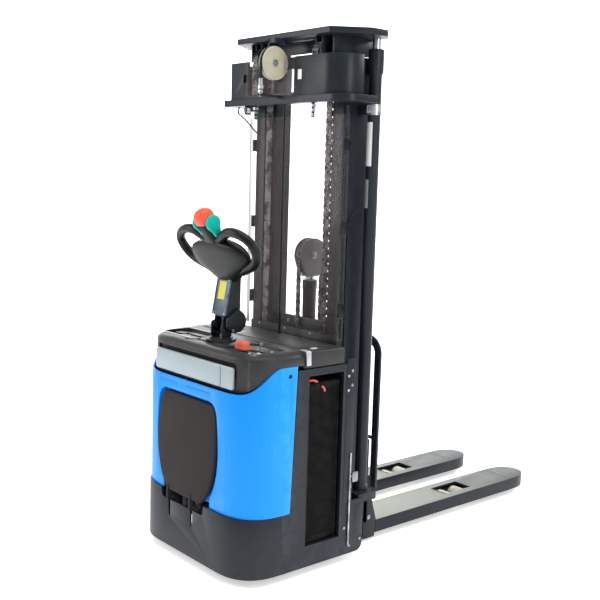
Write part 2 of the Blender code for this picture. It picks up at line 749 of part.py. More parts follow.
def fork(side, sign):
    """A fork arm: an upside-down channel with a heel gusset, a window and a round tip."""
    middle = sign * (FORK_SPREAD - FORK_WIDTH) / 2
    half = FORK_WIDTH / 2
    plan = [(middle + half, 0.0), (middle + half, FORK_LENGTH - 0.150)]
    for step in range(1, 12):
        angle = math.pi * step / 12
        plan.append((middle + half * math.cos(angle),
                     FORK_LENGTH - 0.150 + 0.150 * math.sin(angle) ** 0.8))
    plan += [(middle - half, FORK_LENGTH - 0.150), (middle - half, 0.0)]
    blade = plate("fork_" + side, plan, "z", 0.029, FORK_TOP, "carriage", FORK_PAINT)
    inside = box("fork_inside_" + side, (middle - half + 0.007, -0.1, 0.0),
                 (middle + half - 0.007, FORK_LENGTH - 0.110, FORK_TOP - 0.008), "carriage",
                 cutter=True)
    tip = plate("fork_tip_cut_" + side, [(FORK_LENGTH - 0.10, 0.0), (FORK_LENGTH + 0.1, 0.0),
                                         (FORK_LENGTH + 0.1, 0.12)],
                "x", -0.5, 0.5, "carriage", cutter=True)
    window = box("fork_window_" + side, (middle - 0.047, 0.528, 0.0),
                 (middle + 0.047, 0.708, 0.2), "carriage", cutter=True)
    cut(blade, inside, tip, window)
    heel = [(-0.0585, 0.235), (-0.043, 0.235), (-0.002, 0.08), (-0.006, 0.012),
            (-0.0585, 0.012)]
    low = sign * (FORK_SPREAD / 2 - 0.012)
    low, high = sorted((low, sign * FORK_SPREAD / 2))
    gusset = plate("fork_gusset_" + side, heel, "x", low, high, "carriage", cutter=True)
    spread = (FORK_INNER, FORK_SPREAD / 2) if sign > 0 else (-FORK_SPREAD / 2, -FORK_INNER)
    shank = plate("fork_shank_" + side, [(-0.0585, 0.080), (0.002, 0.080), (0.002, 0.0875),
                                         (-0.043, 0.235), (-0.0585, 0.235)],
                  "x", spread[0], spread[1], "carriage", cutter=True)
    join(blade, gusset, shank)


def carriage():
    """The fork carriage: an upright plate with two cross bars behind it."""
    face = plate("fork_carriage", rounded((-0.285, 0.080), (0.285, 0.470), 0.01), "y",
                 0.0588, 0.079, "carriage", FRAME_PAINT)
    window = box("carriage_window", (-0.155, -0.2, 0.26), (0.155, 0.0, 0.39), "carriage",
                 cutter=True)
    cut(face, window)
    for side, sign in SIDES:
        low, high = mirrored(sign, (0.160, -0.235, 0.175), (0.176, -0.075, 0.46))
        arm_plate = box("carriage_arm_" + side, low, high, "carriage", cutter=True)
        join(face, arm_plate)
    hook = box("chain_hook", (-0.03, -0.128, 0.40), (0.03, -0.075, 0.44), "carriage",
               cutter=True)
    join(face, hook)


def backrest():
    """The load backrest: one flat bar bent to a hoop, with a crossbar."""
    radius, half, top, wide = 0.080, 0.307, 0.926, 0.035
    outer = [(half, 0.248)] + arc((half - radius, top - radius), radius, 0, 90, 6)
    outer += [(-x, z) for x, z in reversed(outer)]
    inner_half, inner_top, inner_radius = half - wide, top - wide, radius - wide
    inner = [(inner_half, 0.248)]
    inner += arc((inner_half - inner_radius, inner_top - inner_radius), inner_radius, 0, 90, 4)
    inner += [(-x, z) for x, z in reversed(inner)]
    hoop = plate("load_backrest", outer + list(reversed(inner)), "y", 0.030, 0.042, "carriage",
                 FRAME_PAINT)
    bar = box("backrest_bar", (-0.28, -0.040, 0.460), (0.28, -0.032, 0.478), "carriage",
              cutter=True)
    lug_low = box("backrest_foot_left", (-0.285, -0.0583, 0.30), (-0.272, -0.035, 0.44),
                  "carriage", cutter=True)
    lug_high = box("backrest_foot_right", (0.272, -0.0583, 0.30), (0.285, -0.035, 0.44),
                   "carriage", cutter=True)
    join(hoop, bar, lug_low, lug_high)


for side, sign in SIDES:
    support_leg(side, sign)
    fork(side, sign)
carriage()
backrest()


# ---------------------------------------------------------------- mast
RAIL_REAR = -0.280
RAIL_FRONT = -0.130


def channel(x_web, x_edge, rear, front, wall):
    """A channel's section: the web at x_web and two flanges that reach to x_edge."""
    inner = x_web + math.copysign(wall, x_edge - x_web)
    return [(x_web, rear), (x_edge, rear), (x_edge, rear + wall), (inner, rear + wall),
            (inner, front - wall), (x_edge, front - wall), (x_edge, front), (x_web, front)]


def rail(name, side, sign, section, low, high, owner, spec=None):
    outline = [(sign * x, y) for x, y in section]
    return plate(f"{name}_{side}", outline, "z", low, high, owner, spec, cutter=not spec)


def outer_mast():
    for side, sign in SIDES:
        section = channel(0.285, 0.225, RAIL_REAR, RAIL_FRONT, 0.011)
        rail("outer_rail", side, sign, section, FLOOR_TOP + GAP, OUTER_TOP - 0.0293,
             "frame_origin", FRAME_PAINT)
    corner = 0.085
    half, rear, front = 0.400, -0.388, -0.205
    outer = [(half, front)]
    outer += arc((half - corner, rear + corner), corner, 0, -90, 8)
    outer += [(-x, y) for x, y in reversed(outer)]
    inner = [(0.2853, front), (0.2853, -0.335)]
    inner += [(-x, y) for x, y in reversed(inner)]
    head = plate("mast_head", outer + list(reversed(inner)), "z", OUTER_TOP - 0.029,
                 OUTER_TOP, "frame_origin", FRAME_PAINT)
    half, rear, front, corner, wall = 0.365, -0.378, -0.215, 0.10, 0.010
    band = [(half, front)] + arc((half - corner, rear + corner), corner, 0, -90, 8)
    band += [(-x, y) for x, y in reversed(band)]
    inside = [(half - wall, front)]
    inside += arc((half - corner, rear + corner), corner - wall, 0, -90, 8)
    inside += [(-x, y) for x, y in reversed(inside)]
    hood = plate("head_band", band + list(reversed(inside)), "z", OUTER_TOP - 0.005, 2.094,
                 "frame_origin", cutter=True)
    window = box("band_window", (-0.236, -0.42, OUTER_TOP - 0.1), (0.090, -0.34, 2.2),
                 "frame_origin", cutter=True)
    sill = plate("band_sill", [(-0.24, 1.9), (0.094, 1.9), (0.094, 1.945), (-0.24, 1.945)],
                 "y", 0.34, 0.42, "frame_origin", cutter=True)
    cut(window, sill)
    cut(hood, window)
    join(head, hood)
    for side, sign in SIDES:
        place = (sign * 0.19, -0.362, 0.0)
        stud = rod("chain_anchor_" + side, 0.006, 1.846, 1.915, place, "z", "frame_origin",
                   steps=12, cutter=True)
        nut = rod("anchor_nut_" + side, 0.011, 1.872, 1.890, place, "z", "frame_origin",
                  steps=6, cutter=True)
        join(head, stud, nut)


def screens():
    """The clear guards: one over the mast opening, one in the head band."""
    box("mast_screen", (-0.300, -0.303, 0.93), (0.300, -0.299, 1.858), "frame_origin", CLEAR)
    pane = plate("head_window", rounded((-0.2355, 1.9455), (0.0895, 2.106), 0.015), "y",
                 0.370, 0.374, "frame_origin", CLEAR)
    slot = box("window_slot", (-0.020, -0.5, 1.995), (0.020, -0.3, 2.2), "frame_origin",
               cutter=True)
    cut(pane, slot)


def side_cylinders():
    for side, sign in SIDES:
        x, y = sign * 0.330, -0.150
        bore, wall, collar = 0.0185, 0.0265, 0.0320
        profile = [(bore, 2.123), (collar, 2.123), (collar, 2.030), (wall, 2.022),
                   (wall, 0.275), (0.0, 0.275), (0.0, 0.295), (bore, 0.295)]
        barrel = turned("lift_cylinder_" + side, profile, (x, y, 0.0), "z", "frame_origin",
                        FRAME_PAINT, ring=True)
        barrel.modifiers["turn"].use_merge_vertices = True
        rod("lift_rod_" + side, 0.0175, 0.30, MAST_HEIGHT - 0.0253, (x, y, 0.0), "z",
            "middle_stage", CHROME)


def middle_mast():
    half, chamfer, rear, front = 0.401, 0.302, -0.385, -0.105
    plan = [(half, -0.16), (half, -0.248), (chamfer, rear)]
    plan += [(-x, y) for x, y in reversed(plan)]
    plan += [(-0.35, front), (0.35, front)]
    top = plate("middle_mast", plan, "z", MAST_HEIGHT - 0.025, MAST_HEIGHT, "middle_stage",
                FRAME_PAINT)
    notch = box("crosshead_notch", (-0.2095, -0.266, 2.1), (0.2095, 0.0, 2.3),
                "middle_stage", cutter=True)
    cut(top, notch)
    for side, sign in SIDES:
        section = channel(0.250, 0.214, -0.262, -0.148, 0.010)
        join(top, rail("middle_rail", side, sign, section, STAGE_LOW, MAST_HEIGHT - 0.010,
                       "middle_stage"))
    hanger = box("wheel_hanger", (-0.024, HOSE_WHEEL.y - 0.010, HOSE_WHEEL.z - 0.02),
                 (-0.0165, HOSE_WHEEL.y + 0.040, MAST_HEIGHT - 0.02), "middle_stage",
                 cutter=True)
    reach = box("hanger_reach", (-0.024, HOSE_WHEEL.y - 0.010, 2.150),
                (0.020, -0.370, MAST_HEIGHT - 0.010), "middle_stage", cutter=True)
    join(top, reach, hanger)
    for side, sign in SIDES:
        low, high = mirrored(sign, (SHEAVE_X - 0.0215, SHEAVE_Y - 0.015, SHEAVE_Z - 0.02),
                             (SHEAVE_X - 0.0155, SHEAVE_Y + 0.015, MAST_HEIGHT - 0.02))
        join(top, box("sheave_hanger_" + side, low, high, "middle_stage", cutter=True))
        groove = [(0.0, 0.014), (0.0445, 0.014), (0.0445, 0.0115), (0.036, 0.0115),
                  (0.036, -0.0115), (0.0445, -0.0115), (0.0445, -0.014), (0.0, -0.014)]
        turned("chain_sheave_" + side, groove, (sign * SHEAVE_X, SHEAVE_Y, SHEAVE_Z), "x",
               "sheave_axis_" + side, STEEL)
    wheel = [(0.0, 0.013), (0.0685, 0.013), (0.0685, 0.009), (0.060, 0.0), (0.0685, -0.009),
             (0.0685, -0.013), (0.0, -0.013)]
    turned("hose_wheel", wheel, HOSE_WHEEL, "x", "hose_wheel_axis", CREAM, steps=32)


def inner_mast():
    frame = box("inner_mast", (-0.188, -0.240, 2.070), (0.188, -0.205, 2.118), "inner_stage",
                FRAME_PAINT)
    low_tie = box("inner_low_tie", (-0.188, -0.240, STAGE_LOW + 0.002),
                  (0.188, -0.168, STAGE_LOW + 0.038), "inner_stage", cutter=True)
    join(frame, low_tie)
    for side, sign in SIDES:
        section = channel(0.184, 0.206, -0.246, -0.164, 0.009)
        join(frame, rail("inner_rail", side, sign, section, STAGE_LOW, 2.120, "inner_stage"))
    bore, wall = 0.0205, 0.030
    low = STAGE_LOW + 0.0383
    profile = [(bore, 1.152), (wall, 1.152), (wall, low), (0.0, low), (0.0, 0.182),
               (bore, 0.182)]
    turned("free_lift_cylinder", profile, (0.0, FREE_Y, 0.0), "z", "inner_stage", FRAME_PAINT,
           ring=True)
    piston = rod("free_lift_rod", 0.0195, 0.20, 1.178, (0.0, FREE_Y, 0.0), "z", "free_piston",
                 CHROME)
    cheeks = []
    for side, sign in SIDES:
        outline = arc((FREE_Y, 1.262), 0.075, 0, 180, 10)
        outline += [(FREE_Y - 0.075, 1.180), (FREE_Y + 0.075, 1.180)]
        low, high = sorted((sign * 0.0165, sign * 0.024))
        cheeks.append(plate("pulley_cheek_" + side, outline, "x", low, high, "free_piston",
                            cutter=True))
    bridge = box("pulley_bridge", (-0.024, FREE_Y - 0.030, 1.170),
                 (0.024, FREE_Y + 0.030, 1.186), "free_piston", cutter=True)
    join(piston, bridge, *cheeks)
    wheel = [(0.0, 0.0155), (0.070, 0.0155), (0.070, 0.012), (0.0615, 0.012),
             (0.0615, -0.012), (0.070, -0.012), (0.070, -0.0155), (0.0, -0.0155)]
    turned("free_lift_pulley", wheel, (0.0, FREE_Y, 1.262), "x", "free_pulley_axis", STEEL)


def chains():
    """Leaf chains, each strand a plain flat bar."""
    for side, sign in SIDES:
        low, high = mirrored(sign, (SHEAVE_X - 0.0105, -0.2805, 0.21),
                             (SHEAVE_X + 0.0105, -0.2725, SHEAVE_Z))
        box("mast_chain_" + side, low, high, "inner_stage", CHAIN_STEEL)
    box("free_chain_rear", (-0.0105, FREE_Y - 0.0695, STAGE_LOW + 0.0405),
        (0.0105, FREE_Y - 0.062, 1.262), "inner_stage", CHAIN_STEEL)
    box("free_chain_front", (-0.0105, FREE_Y + 0.062, 0.4405),
        (0.0105, FREE_Y + 0.0695, 1.262), "carriage", CHAIN_STEEL)


outer_mast()
screens()
side_cylinders()
middle_mast()
inner_mast()
chains()
print("pieces:", sum(1 for item in PARTS.objects if item.type == "MESH"))
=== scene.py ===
import json
import math

import bmesh
import bpy
from mathutils import Matrix, Vector


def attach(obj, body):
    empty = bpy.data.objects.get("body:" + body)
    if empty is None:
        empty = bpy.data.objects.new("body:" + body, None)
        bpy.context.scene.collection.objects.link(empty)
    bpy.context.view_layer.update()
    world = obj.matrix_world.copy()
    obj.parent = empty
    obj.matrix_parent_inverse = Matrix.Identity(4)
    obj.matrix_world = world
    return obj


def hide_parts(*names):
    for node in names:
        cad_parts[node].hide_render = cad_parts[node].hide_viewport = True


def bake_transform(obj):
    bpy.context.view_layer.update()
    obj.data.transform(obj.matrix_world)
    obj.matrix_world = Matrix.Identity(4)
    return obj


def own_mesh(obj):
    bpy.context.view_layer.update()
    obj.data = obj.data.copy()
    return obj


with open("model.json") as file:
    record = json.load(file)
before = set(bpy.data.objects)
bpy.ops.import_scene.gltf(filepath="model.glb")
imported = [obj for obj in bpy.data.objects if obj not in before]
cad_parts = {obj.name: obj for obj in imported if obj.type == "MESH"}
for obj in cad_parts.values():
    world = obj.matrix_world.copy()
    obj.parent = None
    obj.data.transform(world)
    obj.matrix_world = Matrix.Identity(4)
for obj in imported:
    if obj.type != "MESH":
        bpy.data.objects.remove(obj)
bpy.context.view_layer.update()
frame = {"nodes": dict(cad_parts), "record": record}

heelY = -0.15735          # the fork heel in the row frame; sizes below are written from it
sides = (("left", -1), ("right", 1))


# shader groups
def newGroup(name, inputs, outputs):
    tree = bpy.data.node_groups.new(name, "ShaderNodeTree")
    for label, kind, value in inputs:
        socket = tree.interface.new_socket(label, in_out="INPUT", socket_type=kind)
        socket.default_value = value
    for label, kind in outputs:
        tree.interface.new_socket(label, in_out="OUTPUT", socket_type=kind)
    return tree, tree.nodes.new("NodeGroupInput"), tree.nodes.new("NodeGroupOutput")


def feed(tree, socket, value):
    # a number or colour is set on the socket, another socket is linked to it
    if isinstance(value, (int, float, tuple)):
        socket.default_value = value
    else:
        tree.links.new(value, socket)


def mathNode(tree, operation, first, second):
    node = tree.nodes.new("ShaderNodeMath")
    node.operation = operation
    feed(tree, node.inputs[0], first)
    feed(tree, node.inputs[1], second)
    return node.outputs[0]


def noiseNode(tree, coords, scale, detail, rough=0.5):
    node = tree.nodes.new("ShaderNodeTexNoise")
    for label, value in (("Vector", coords), ("Scale", scale), ("Detail", detail),
                         ("Roughness", rough)):
        feed(tree, node.inputs[label], value)
    return node.outputs["Fac"]


def rangeNode(tree, value, low, high, toLow=0.0, toHigh=1.0):
    node = tree.nodes.new("ShaderNodeMapRange")
    for index, number in enumerate((value, low, high, toLow, toHigh)):
        feed(tree, node.inputs[index], number)
    return node.outputs[0]


def mixColour(tree, factor, first, second):
    node = tree.nodes.new("ShaderNodeMix")
    node.data_type = "RGBA"
    for index, value in ((0, factor), (6, first), (7, second)):
        feed(tree, node.inputs[index], value)
    return node.outputs[2]


def buildSurfaceGroup():
    # colour patches, fine grain, rubbed edges and floor dust, shared by every finish
    colour, number = "NodeSocketColor", "NodeSocketFloat"
    tree, source, sink = newGroup("workedSurface", [
        ("Base", colour, (0.5, 0.5, 0.5, 1)), ("Patch", colour, (0.4, 0.4, 0.4, 1)),
        ("PatchScale", number, 6.0), ("PatchAmount", number, 0.5),
        ("GrainScale", number, 900.0), ("GrainAmount", number, 0.2),
        ("Rough", number, 0.4), ("RoughSpread", number, 0.1),
        ("EdgeColour", colour, (0.6, 0.6, 0.6, 1)), ("EdgeAmount", number, 0.4),
        ("DustAmount", number, 0.0)],
        [("Colour", colour), ("Roughness", number), ("Height", number)])
    link = tree.links.new
    coords = tree.nodes.new("ShaderNodeTexCoord").outputs["Object"]
    give = source.outputs
    patch = rangeNode(tree, noiseNode(tree, coords, give["PatchScale"], 4.0, 0.6), 0.38, 0.62)
    patched = mixColour(tree, mathNode(tree, "MULTIPLY", patch, give["PatchAmount"]),
                        give["Base"], give["Patch"])
    grain = noiseNode(tree, coords, give["GrainScale"], 2.0)
    scuff = noiseNode(tree, coords, 22.0, 5.0, 0.6)
    geometry = tree.nodes.new("ShaderNodeNewGeometry")
    edge = rangeNode(tree, geometry.outputs["Pointiness"], 0.53, 0.62)
    broken = rangeNode(tree, scuff, 0.40, 0.58)
    worn = mathNode(tree, "MULTIPLY", mathNode(tree, "MULTIPLY", edge, broken),
                    give["EdgeAmount"])
    rubbed = mixColour(tree, worn, patched, give["EdgeColour"])
    split = tree.nodes.new("ShaderNodeSeparateXYZ")
    link(coords, split.inputs[0])
    low = rangeNode(tree, split.outputs["Z"], 0.0, 0.30, 1.0, 0.0)
    dusty = mathNode(tree, "MULTIPLY", mathNode(tree, "MULTIPLY", low, scuff),
                     give["DustAmount"])
    dusted = mixColour(tree, dusty, rubbed, (0.30, 0.28, 0.25, 1.0))
    link(dusted, sink.inputs["Colour"])
    spread = mathNode(tree, "MULTIPLY", mathNode(tree, "SUBTRACT", scuff, 0.5),
                      give["RoughSpread"])
    link(mathNode(tree, "ADD", mathNode(tree, "ADD", give["Rough"], spread),
                  mathNode(tree, "MULTIPLY", dusty, 0.6)), sink.inputs["Roughness"])
    link(mathNode(tree, "MULTIPLY", grain, give["GrainAmount"]), sink.inputs["Height"])
    return tree


surfaceGroup = buildSurfaceGroup()
finishes = {}


def finish(name, base, patch, rough, metallic=0.0, coat=0.0, alpha=1.0, bump=0.00015,
           shine=0.22, **sizes):
    # one Principled material; sizes left out take the surface group's own values
    made = bpy.data.materials.new(name)
    made.use_nodes = True
    tree = made.node_tree
    shader = tree.nodes["Principled BSDF"]
    group = tree.nodes.new("ShaderNodeGroup")
    group.node_tree = surfaceGroup
    settings = {"Base": (*base, 1.0), "Patch": (*patch, 1.0), "Rough": rough, **sizes}
    for label, value in settings.items():
        group.inputs[label].default_value = value
    raised = tree.nodes.new("ShaderNodeBump")
    raised.inputs["Distance"].default_value = bump
    raised.inputs["Strength"].default_value = 1.0
    tree.links.new(group.outputs["Colour"], shader.inputs["Base Color"])
    tree.links.new(group.outputs["Roughness"], shader.inputs["Roughness"])
    tree.links.new(group.outputs["Height"], raised.inputs["Height"])
    tree.links.new(raised.outputs["Normal"], shader.inputs["Normal"])
    shader.inputs["Metallic"].default_value = metallic
    shader.inputs["Specular IOR Level"].default_value = shine
    shader.inputs["Coat Weight"].default_value = coat
    shader.inputs["Coat Roughness"].default_value = 0.12
    shader.inputs["Alpha"].default_value = alpha
    finishes[name] = made
    return made


finish("anthracitePaint", (0.0110, 0.0150, 0.0210), (0.014, 0.0185, 0.025), 0.36, shine=0.26,
       PatchScale=5.0, GrainScale=420.0, GrainAmount=0.25, RoughSpread=0.08,
       EdgeColour=(0.05, 0.06, 0.075, 1), DustAmount=0.05)
finish("blueMoulding", (0.004, 0.285, 0.96), (0.005, 0.300, 1.0), 0.38, PatchScale=3.0,
       GrainAmount=0.10, EdgeColour=(0.05, 0.42, 1.0, 1), EdgeAmount=0.35, DustAmount=0.05)
finish("darkMoulding", (0.036, 0.035, 0.035), (0.043, 0.042, 0.042), 0.40, PatchScale=4.0,
       GrainScale=1100.0, GrainAmount=0.35, RoughSpread=0.12, EdgeColour=(0.14, 0.14, 0.15, 1),
       DustAmount=0.05)
finish("silverMoulding", (0.36, 0.43, 0.46), (0.40, 0.46, 0.50), 0.36, 0.35, coat=0.1,
       PatchScale=7.0, PatchAmount=0.4, GrainScale=1500.0, GrainAmount=0.15,
       EdgeColour=(0.62, 0.68, 0.72, 1))
finish("platformMoulding", (0.030, 0.024, 0.024), (0.036, 0.029, 0.028), 0.6, shine=0.12,
       PatchScale=6.0, PatchAmount=0.6, GrainScale=700.0, GrainAmount=0.5,
       EdgeColour=(0.06, 0.07, 0.08, 1), EdgeAmount=0.5, DustAmount=0.04)
finish("polishedRod", (0.50, 0.53, 0.57), (0.44, 0.47, 0.50), 0.22, 1.0, PatchScale=9.0,
       PatchAmount=0.3, GrainAmount=0.03, RoughSpread=0.06, EdgeColour=(0.9, 0.9, 0.9, 1),
       EdgeAmount=0.2)
finish("zincSteel", (0.30, 0.32, 0.35), (0.22, 0.24, 0.26), 0.38, 0.95, PatchScale=60.0,
       PatchAmount=0.7, GrainAmount=0.15, RoughSpread=0.2, EdgeColour=(0.8, 0.8, 0.82, 1),
       EdgeAmount=0.5, DustAmount=0.05)
finish("chainSteel", (0.022, 0.021, 0.022), (0.045, 0.040, 0.036), 0.42, 0.55, PatchScale=80.0,
       PatchAmount=0.6, RoughSpread=0.2, EdgeColour=(0.35, 0.34, 0.33, 1), EdgeAmount=0.6,
       DustAmount=0.05)
finish("wheelRubber", (0.018, 0.018, 0.019), (0.04, 0.038, 0.035), 0.78, PatchScale=30.0,
       GrainScale=500.0, GrainAmount=0.6, RoughSpread=0.15, EdgeColour=(0.08, 0.08, 0.08, 1),
       DustAmount=0.5)
finish("creamNylon", (0.52, 0.50, 0.37), (0.44, 0.42, 0.31), 0.42, PatchScale=25.0,
       GrainScale=600.0, RoughSpread=0.15, EdgeColour=(0.7, 0.68, 0.58, 1), DustAmount=0.15)
finish("clearSheet", (0.30, 0.24, 0.24), (0.26, 0.22, 0.22), 0.05, alpha=0.09, PatchScale=2.0,
       GrainScale=400.0, GrainAmount=0.02, RoughSpread=0.04, EdgeColour=(0.5, 0.5, 0.5, 1),
       EdgeAmount=0.0, bump=0.00001)
finish("redMoulding", (1.0, 0.105, 0.040), (0.92, 0.085, 0.035), 0.34, coat=0.1,
       PatchScale=20.0, PatchAmount=0.4, GrainScale=1300.0, EdgeColour=(1.0, 0.30, 0.2, 1))
finish("connectorRed", (0.84, 0.13, 0.075), (0.74, 0.10, 0.06), 0.5, PatchScale=20.0,
       GrainAmount=0.3, EdgeColour=(0.9, 0.3, 0.2, 1))
finish("tealMoulding", (0.0, 0.46, 0.37), (0.0, 0.40, 0.33), 0.34, coat=0.1, PatchScale=20.0,
       PatchAmount=0.4, GrainScale=1300.0, EdgeColour=(0.2, 0.65, 0.55, 1))
finish("gripMoulding", (0.0055, 0.0065, 0.0070), (0.0075, 0.0085, 0.009), 0.34, PatchScale=10.0,
       GrainScale=1200.0, GrainAmount=0.45, RoughSpread=0.12, EdgeColour=(0.06, 0.065, 0.07, 1))
finish("armPlateGrey", (0.095, 0.125, 0.165), (0.08, 0.105, 0.14), 0.36, 0.35, PatchScale=9.0,
       GrainScale=700.0, RoughSpread=0.12, EdgeColour=(0.45, 0.5, 0.55, 1), EdgeAmount=0.7)
finish("rawCasting", (0.16, 0.16, 0.165), (0.11, 0.11, 0.11), 0.62, 0.6, PatchScale=18.0,
       PatchAmount=0.6, GrainScale=260.0, GrainAmount=0.9, RoughSpread=0.2,
       EdgeColour=(0.4, 0.4, 0.4, 1), DustAmount=0.2)
# near-black for the dial plate and the hood lock face, and for the painted shade at the back of
# the gas spring room
finish("blackPartsAndPaintedShade", (0.004, 0.004, 0.005), (0.006, 0.006, 0.007), 0.7, shine=0.08,
       PatchScale=9.0, GrainScale=500.0, GrainAmount=0.4, EdgeColour=(0.03, 0.03, 0.03, 1),
       EdgeAmount=0.3)
finish("batteryCase", (0.0035, 0.0035, 0.004), (0.0075, 0.0070, 0.0065), 0.65, shine=0.06,
       PatchScale=160.0, PatchAmount=0.6, GrainScale=300.0, GrainAmount=0.8,
       EdgeColour=(0.05, 0.05, 0.05, 1))
finish("plainSticker", (0.86, 0.86, 0.86), (0.80, 0.80, 0.80), 0.35, PatchScale=30.0,
       PatchAmount=0.3, GrainAmount=0.05, EdgeColour=(0.9, 0.9, 0.9, 1), EdgeAmount=0.1)
# silver for trims, dials and plates, and also for the painted sheen strip on the screen's left
# edge
finish("silverTrimAndPaintedSheen", (0.50, 0.52, 0.54), (0.44, 0.46, 0.48), 0.38, 0.5, PatchScale=30.0,
       PatchAmount=0.3, GrainAmount=0.05, EdgeColour=(0.9, 0.9, 0.9, 1), EdgeAmount=0.1)
finish("yellowSticker", (0.76, 0.70, 0.07), (0.70, 0.64, 0.06), 0.4, PatchScale=40.0,
       PatchAmount=0.3, GrainAmount=0.05, EdgeColour=(0.9, 0.9, 0.5, 1), EdgeAmount=0.1)


def forkPaintWithPaintedReflection():
    # near-black sides; the grey-green tops are a painted reflection, lighter near the heel and
    # darker towards the tips
    # the base colour below is the painted reflection on the fork tops, not the paint's own colour
    made = finish("forkPaint", (0.25, 0.27, 0.215), (0.22, 0.24, 0.195), 0.40, 0.1, coat=0.05,
                  PatchScale=8.0, PatchAmount=0.4, GrainScale=500.0, GrainAmount=0.2,
                  RoughSpread=0.18, EdgeColour=(0.3, 0.32, 0.33, 1), EdgeAmount=0.4,
                  DustAmount=0.05)
    tree = made.node_tree
    shader = tree.nodes["Principled BSDF"]
    group = next(node for node in tree.nodes if node.type == "GROUP")
    coords = tree.nodes.new("ShaderNodeTexCoord")
    split = tree.nodes.new("ShaderNodeSeparateXYZ")
    tree.links.new(coords.outputs["Object"], split.inputs[0])
    # painted reflection: the tops fade from the lighter base near the heel to dark towards the
    # tips
    along = rangeNode(tree, split.outputs["Y"], heelY + 0.10, heelY + 1.05)
    paintedReflectionAlongFork = mixColour(tree, along, group.outputs["Colour"], (0.040, 0.052, 0.053, 1.0))
    facing = tree.nodes.new("ShaderNodeNewGeometry")
    turned = tree.nodes.new("ShaderNodeSeparateXYZ")
    tree.links.new(facing.outputs["True Normal"], turned.inputs[0])
    # painted reflection only on upward faces; the sides keep the near-black paint colour
    top = rangeNode(tree, turned.outputs["Z"], 0.8, 0.95)
    paintedReflectionOnTops = mixColour(tree, top, (0.014, 0.017, 0.023, 1.0), paintedReflectionAlongFork)
    tree.links.new(paintedReflectionOnTops, shader.inputs["Base Color"])
    return made


forkPaintWithPaintedReflection()
slotOf = {
    "anthracitePaint": "frame_paint", "blueMoulding": "blue_cover",
    "darkMoulding": "dark_plastic", "silverMoulding": "silver_plastic",
    "platformMoulding": "dark_plastic", "polishedRod": "chrome", "zincSteel": "steel",
    "chainSteel": "chain_steel", "wheelRubber": "rubber", "creamNylon": "cream_nylon",
    "clearSheet": "clear_sheet", "redMoulding": "red_plastic", "connectorRed": "red_plastic",
    "tealMoulding": "teal_plastic", "gripMoulding": "handle_plastic",
    "armPlateGrey": "frame_paint", "rawCasting": "casting", "blackPartsAndPaintedShade": "dark_plastic",
    "batteryCase": "dark_plastic", "forkPaint": "fork_paint",
}
print("finishes made:", len(finishes))

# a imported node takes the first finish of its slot
nodeFinish = {}
for name, slot in slotOf.items():
    nodeFinish.setdefault(slot, name)
for part in frame["record"]["subparts"]:
    node = frame["nodes"][part["node"]]
    node.data.materials.clear()
    node.data.materials.append(finishes[nodeFinish[part["material_slot"]]])
print("packed nodes dressed:", len(frame["nodes"]))


# mesh helpers
def placed(name, data):
    obj = bpy.data.objects.new(name, data)
    bpy.context.scene.collection.objects.link(obj)
    return obj


def meshObject(name, verts, faces=(), edges=()):
    mesh = bpy.data.meshes.new(name)
    mesh.from_pydata([tuple(v) for v in verts], list(edges), list(faces))
    return placed(name, mesh)


def outward(obj):
    grid = bmesh.new()
    grid.from_mesh(obj.data)
    bmesh.ops.remove_doubles(grid, verts=grid.verts, dist=0.00001)
    bmesh.ops.recalc_face_normals(grid, faces=grid.faces)
    grid.to_mesh(obj.data)
    grid.free()
    return obj


def freeze(obj):
    graph = bpy.context.evaluated_depsgraph_get()
    mesh = bpy.data.meshes.new_from_object(obj.evaluated_get(graph))
    obj.modifiers.clear()
    obj.data = mesh
    return obj


def rounded(obj, width, segments=3, angle=35.0):
    edge = obj.modifiers.new("edge", "BEVEL")
    edge.width = width
    edge.segments = segments
    edge.limit_method = "ANGLE"
    edge.angle_limit = math.radians(angle)
    edge.use_clamp_overlap = True
    return freeze(obj)


def combine(obj, others, operation):
    for other in others:
        step = obj.modifiers.new("shape", "BOOLEAN")
        step.operation = operation
        step.solver = "EXACT"
        step.object = other
    freeze(obj)
    for other in others:
        bpy.data.objects.remove(other, do_unlink=True)
    return obj


def carve(obj, *others):
    return combine(obj, others, "DIFFERENCE")


def fuse(obj, *others):
    return combine(obj, others, "UNION")


def gather(obj, *others):
    # puts loose shells into one mesh
    grid = bmesh.new()
    grid.from_mesh(obj.data)
    for other in others:
        grid.from_mesh(other.data)
        bpy.data.objects.remove(other, do_unlink=True)
    grid.to_mesh(obj.data)
    grid.free()
    return obj


def slab(name, outline, axis, low, high, edge=0.0, segments=3):
    # an outline of (x, y) along z, (y, z) along x or (x, z) along y
    low, high = sorted((low, high))

    def place(u, v, w):
        return {"z": (u, v, w), "x": (w, u, v), "y": (u, w, v)}[axis]
    count = len(outline)
    verts = [place(u, v, low) for u, v in outline] + [place(u, v, high) for u, v in outline]
    faces = [tuple(range(count)), tuple(range(2 * count - 1, count - 1, -1))]
    for i in range(count):
        j = (i + 1) % count
        faces.append((i, j, count + j, count + i))
    obj = outward(meshObject(name, verts, faces))
    return rounded(obj, edge, segments) if edge else obj


def box(name, low, high, edge=0.0, segments=2):
    (x0, x1), (y0, y1), (z0, z1) = (sorted(pair) for pair in zip(low, high))
    return slab(name, [(x0, y0), (x1, y0), (x1, y1), (x0, y1)], "z", z0, z1, edge, segments)


def arcPoints(centre, radius, start, end, count):
    return [(centre[0] + radius * math.cos(math.radians(start + (end - start) * i / count)),
             centre[1] + radius * math.sin(math.radians(start + (end - start) * i / count)))
            for i in range(count + 1)]


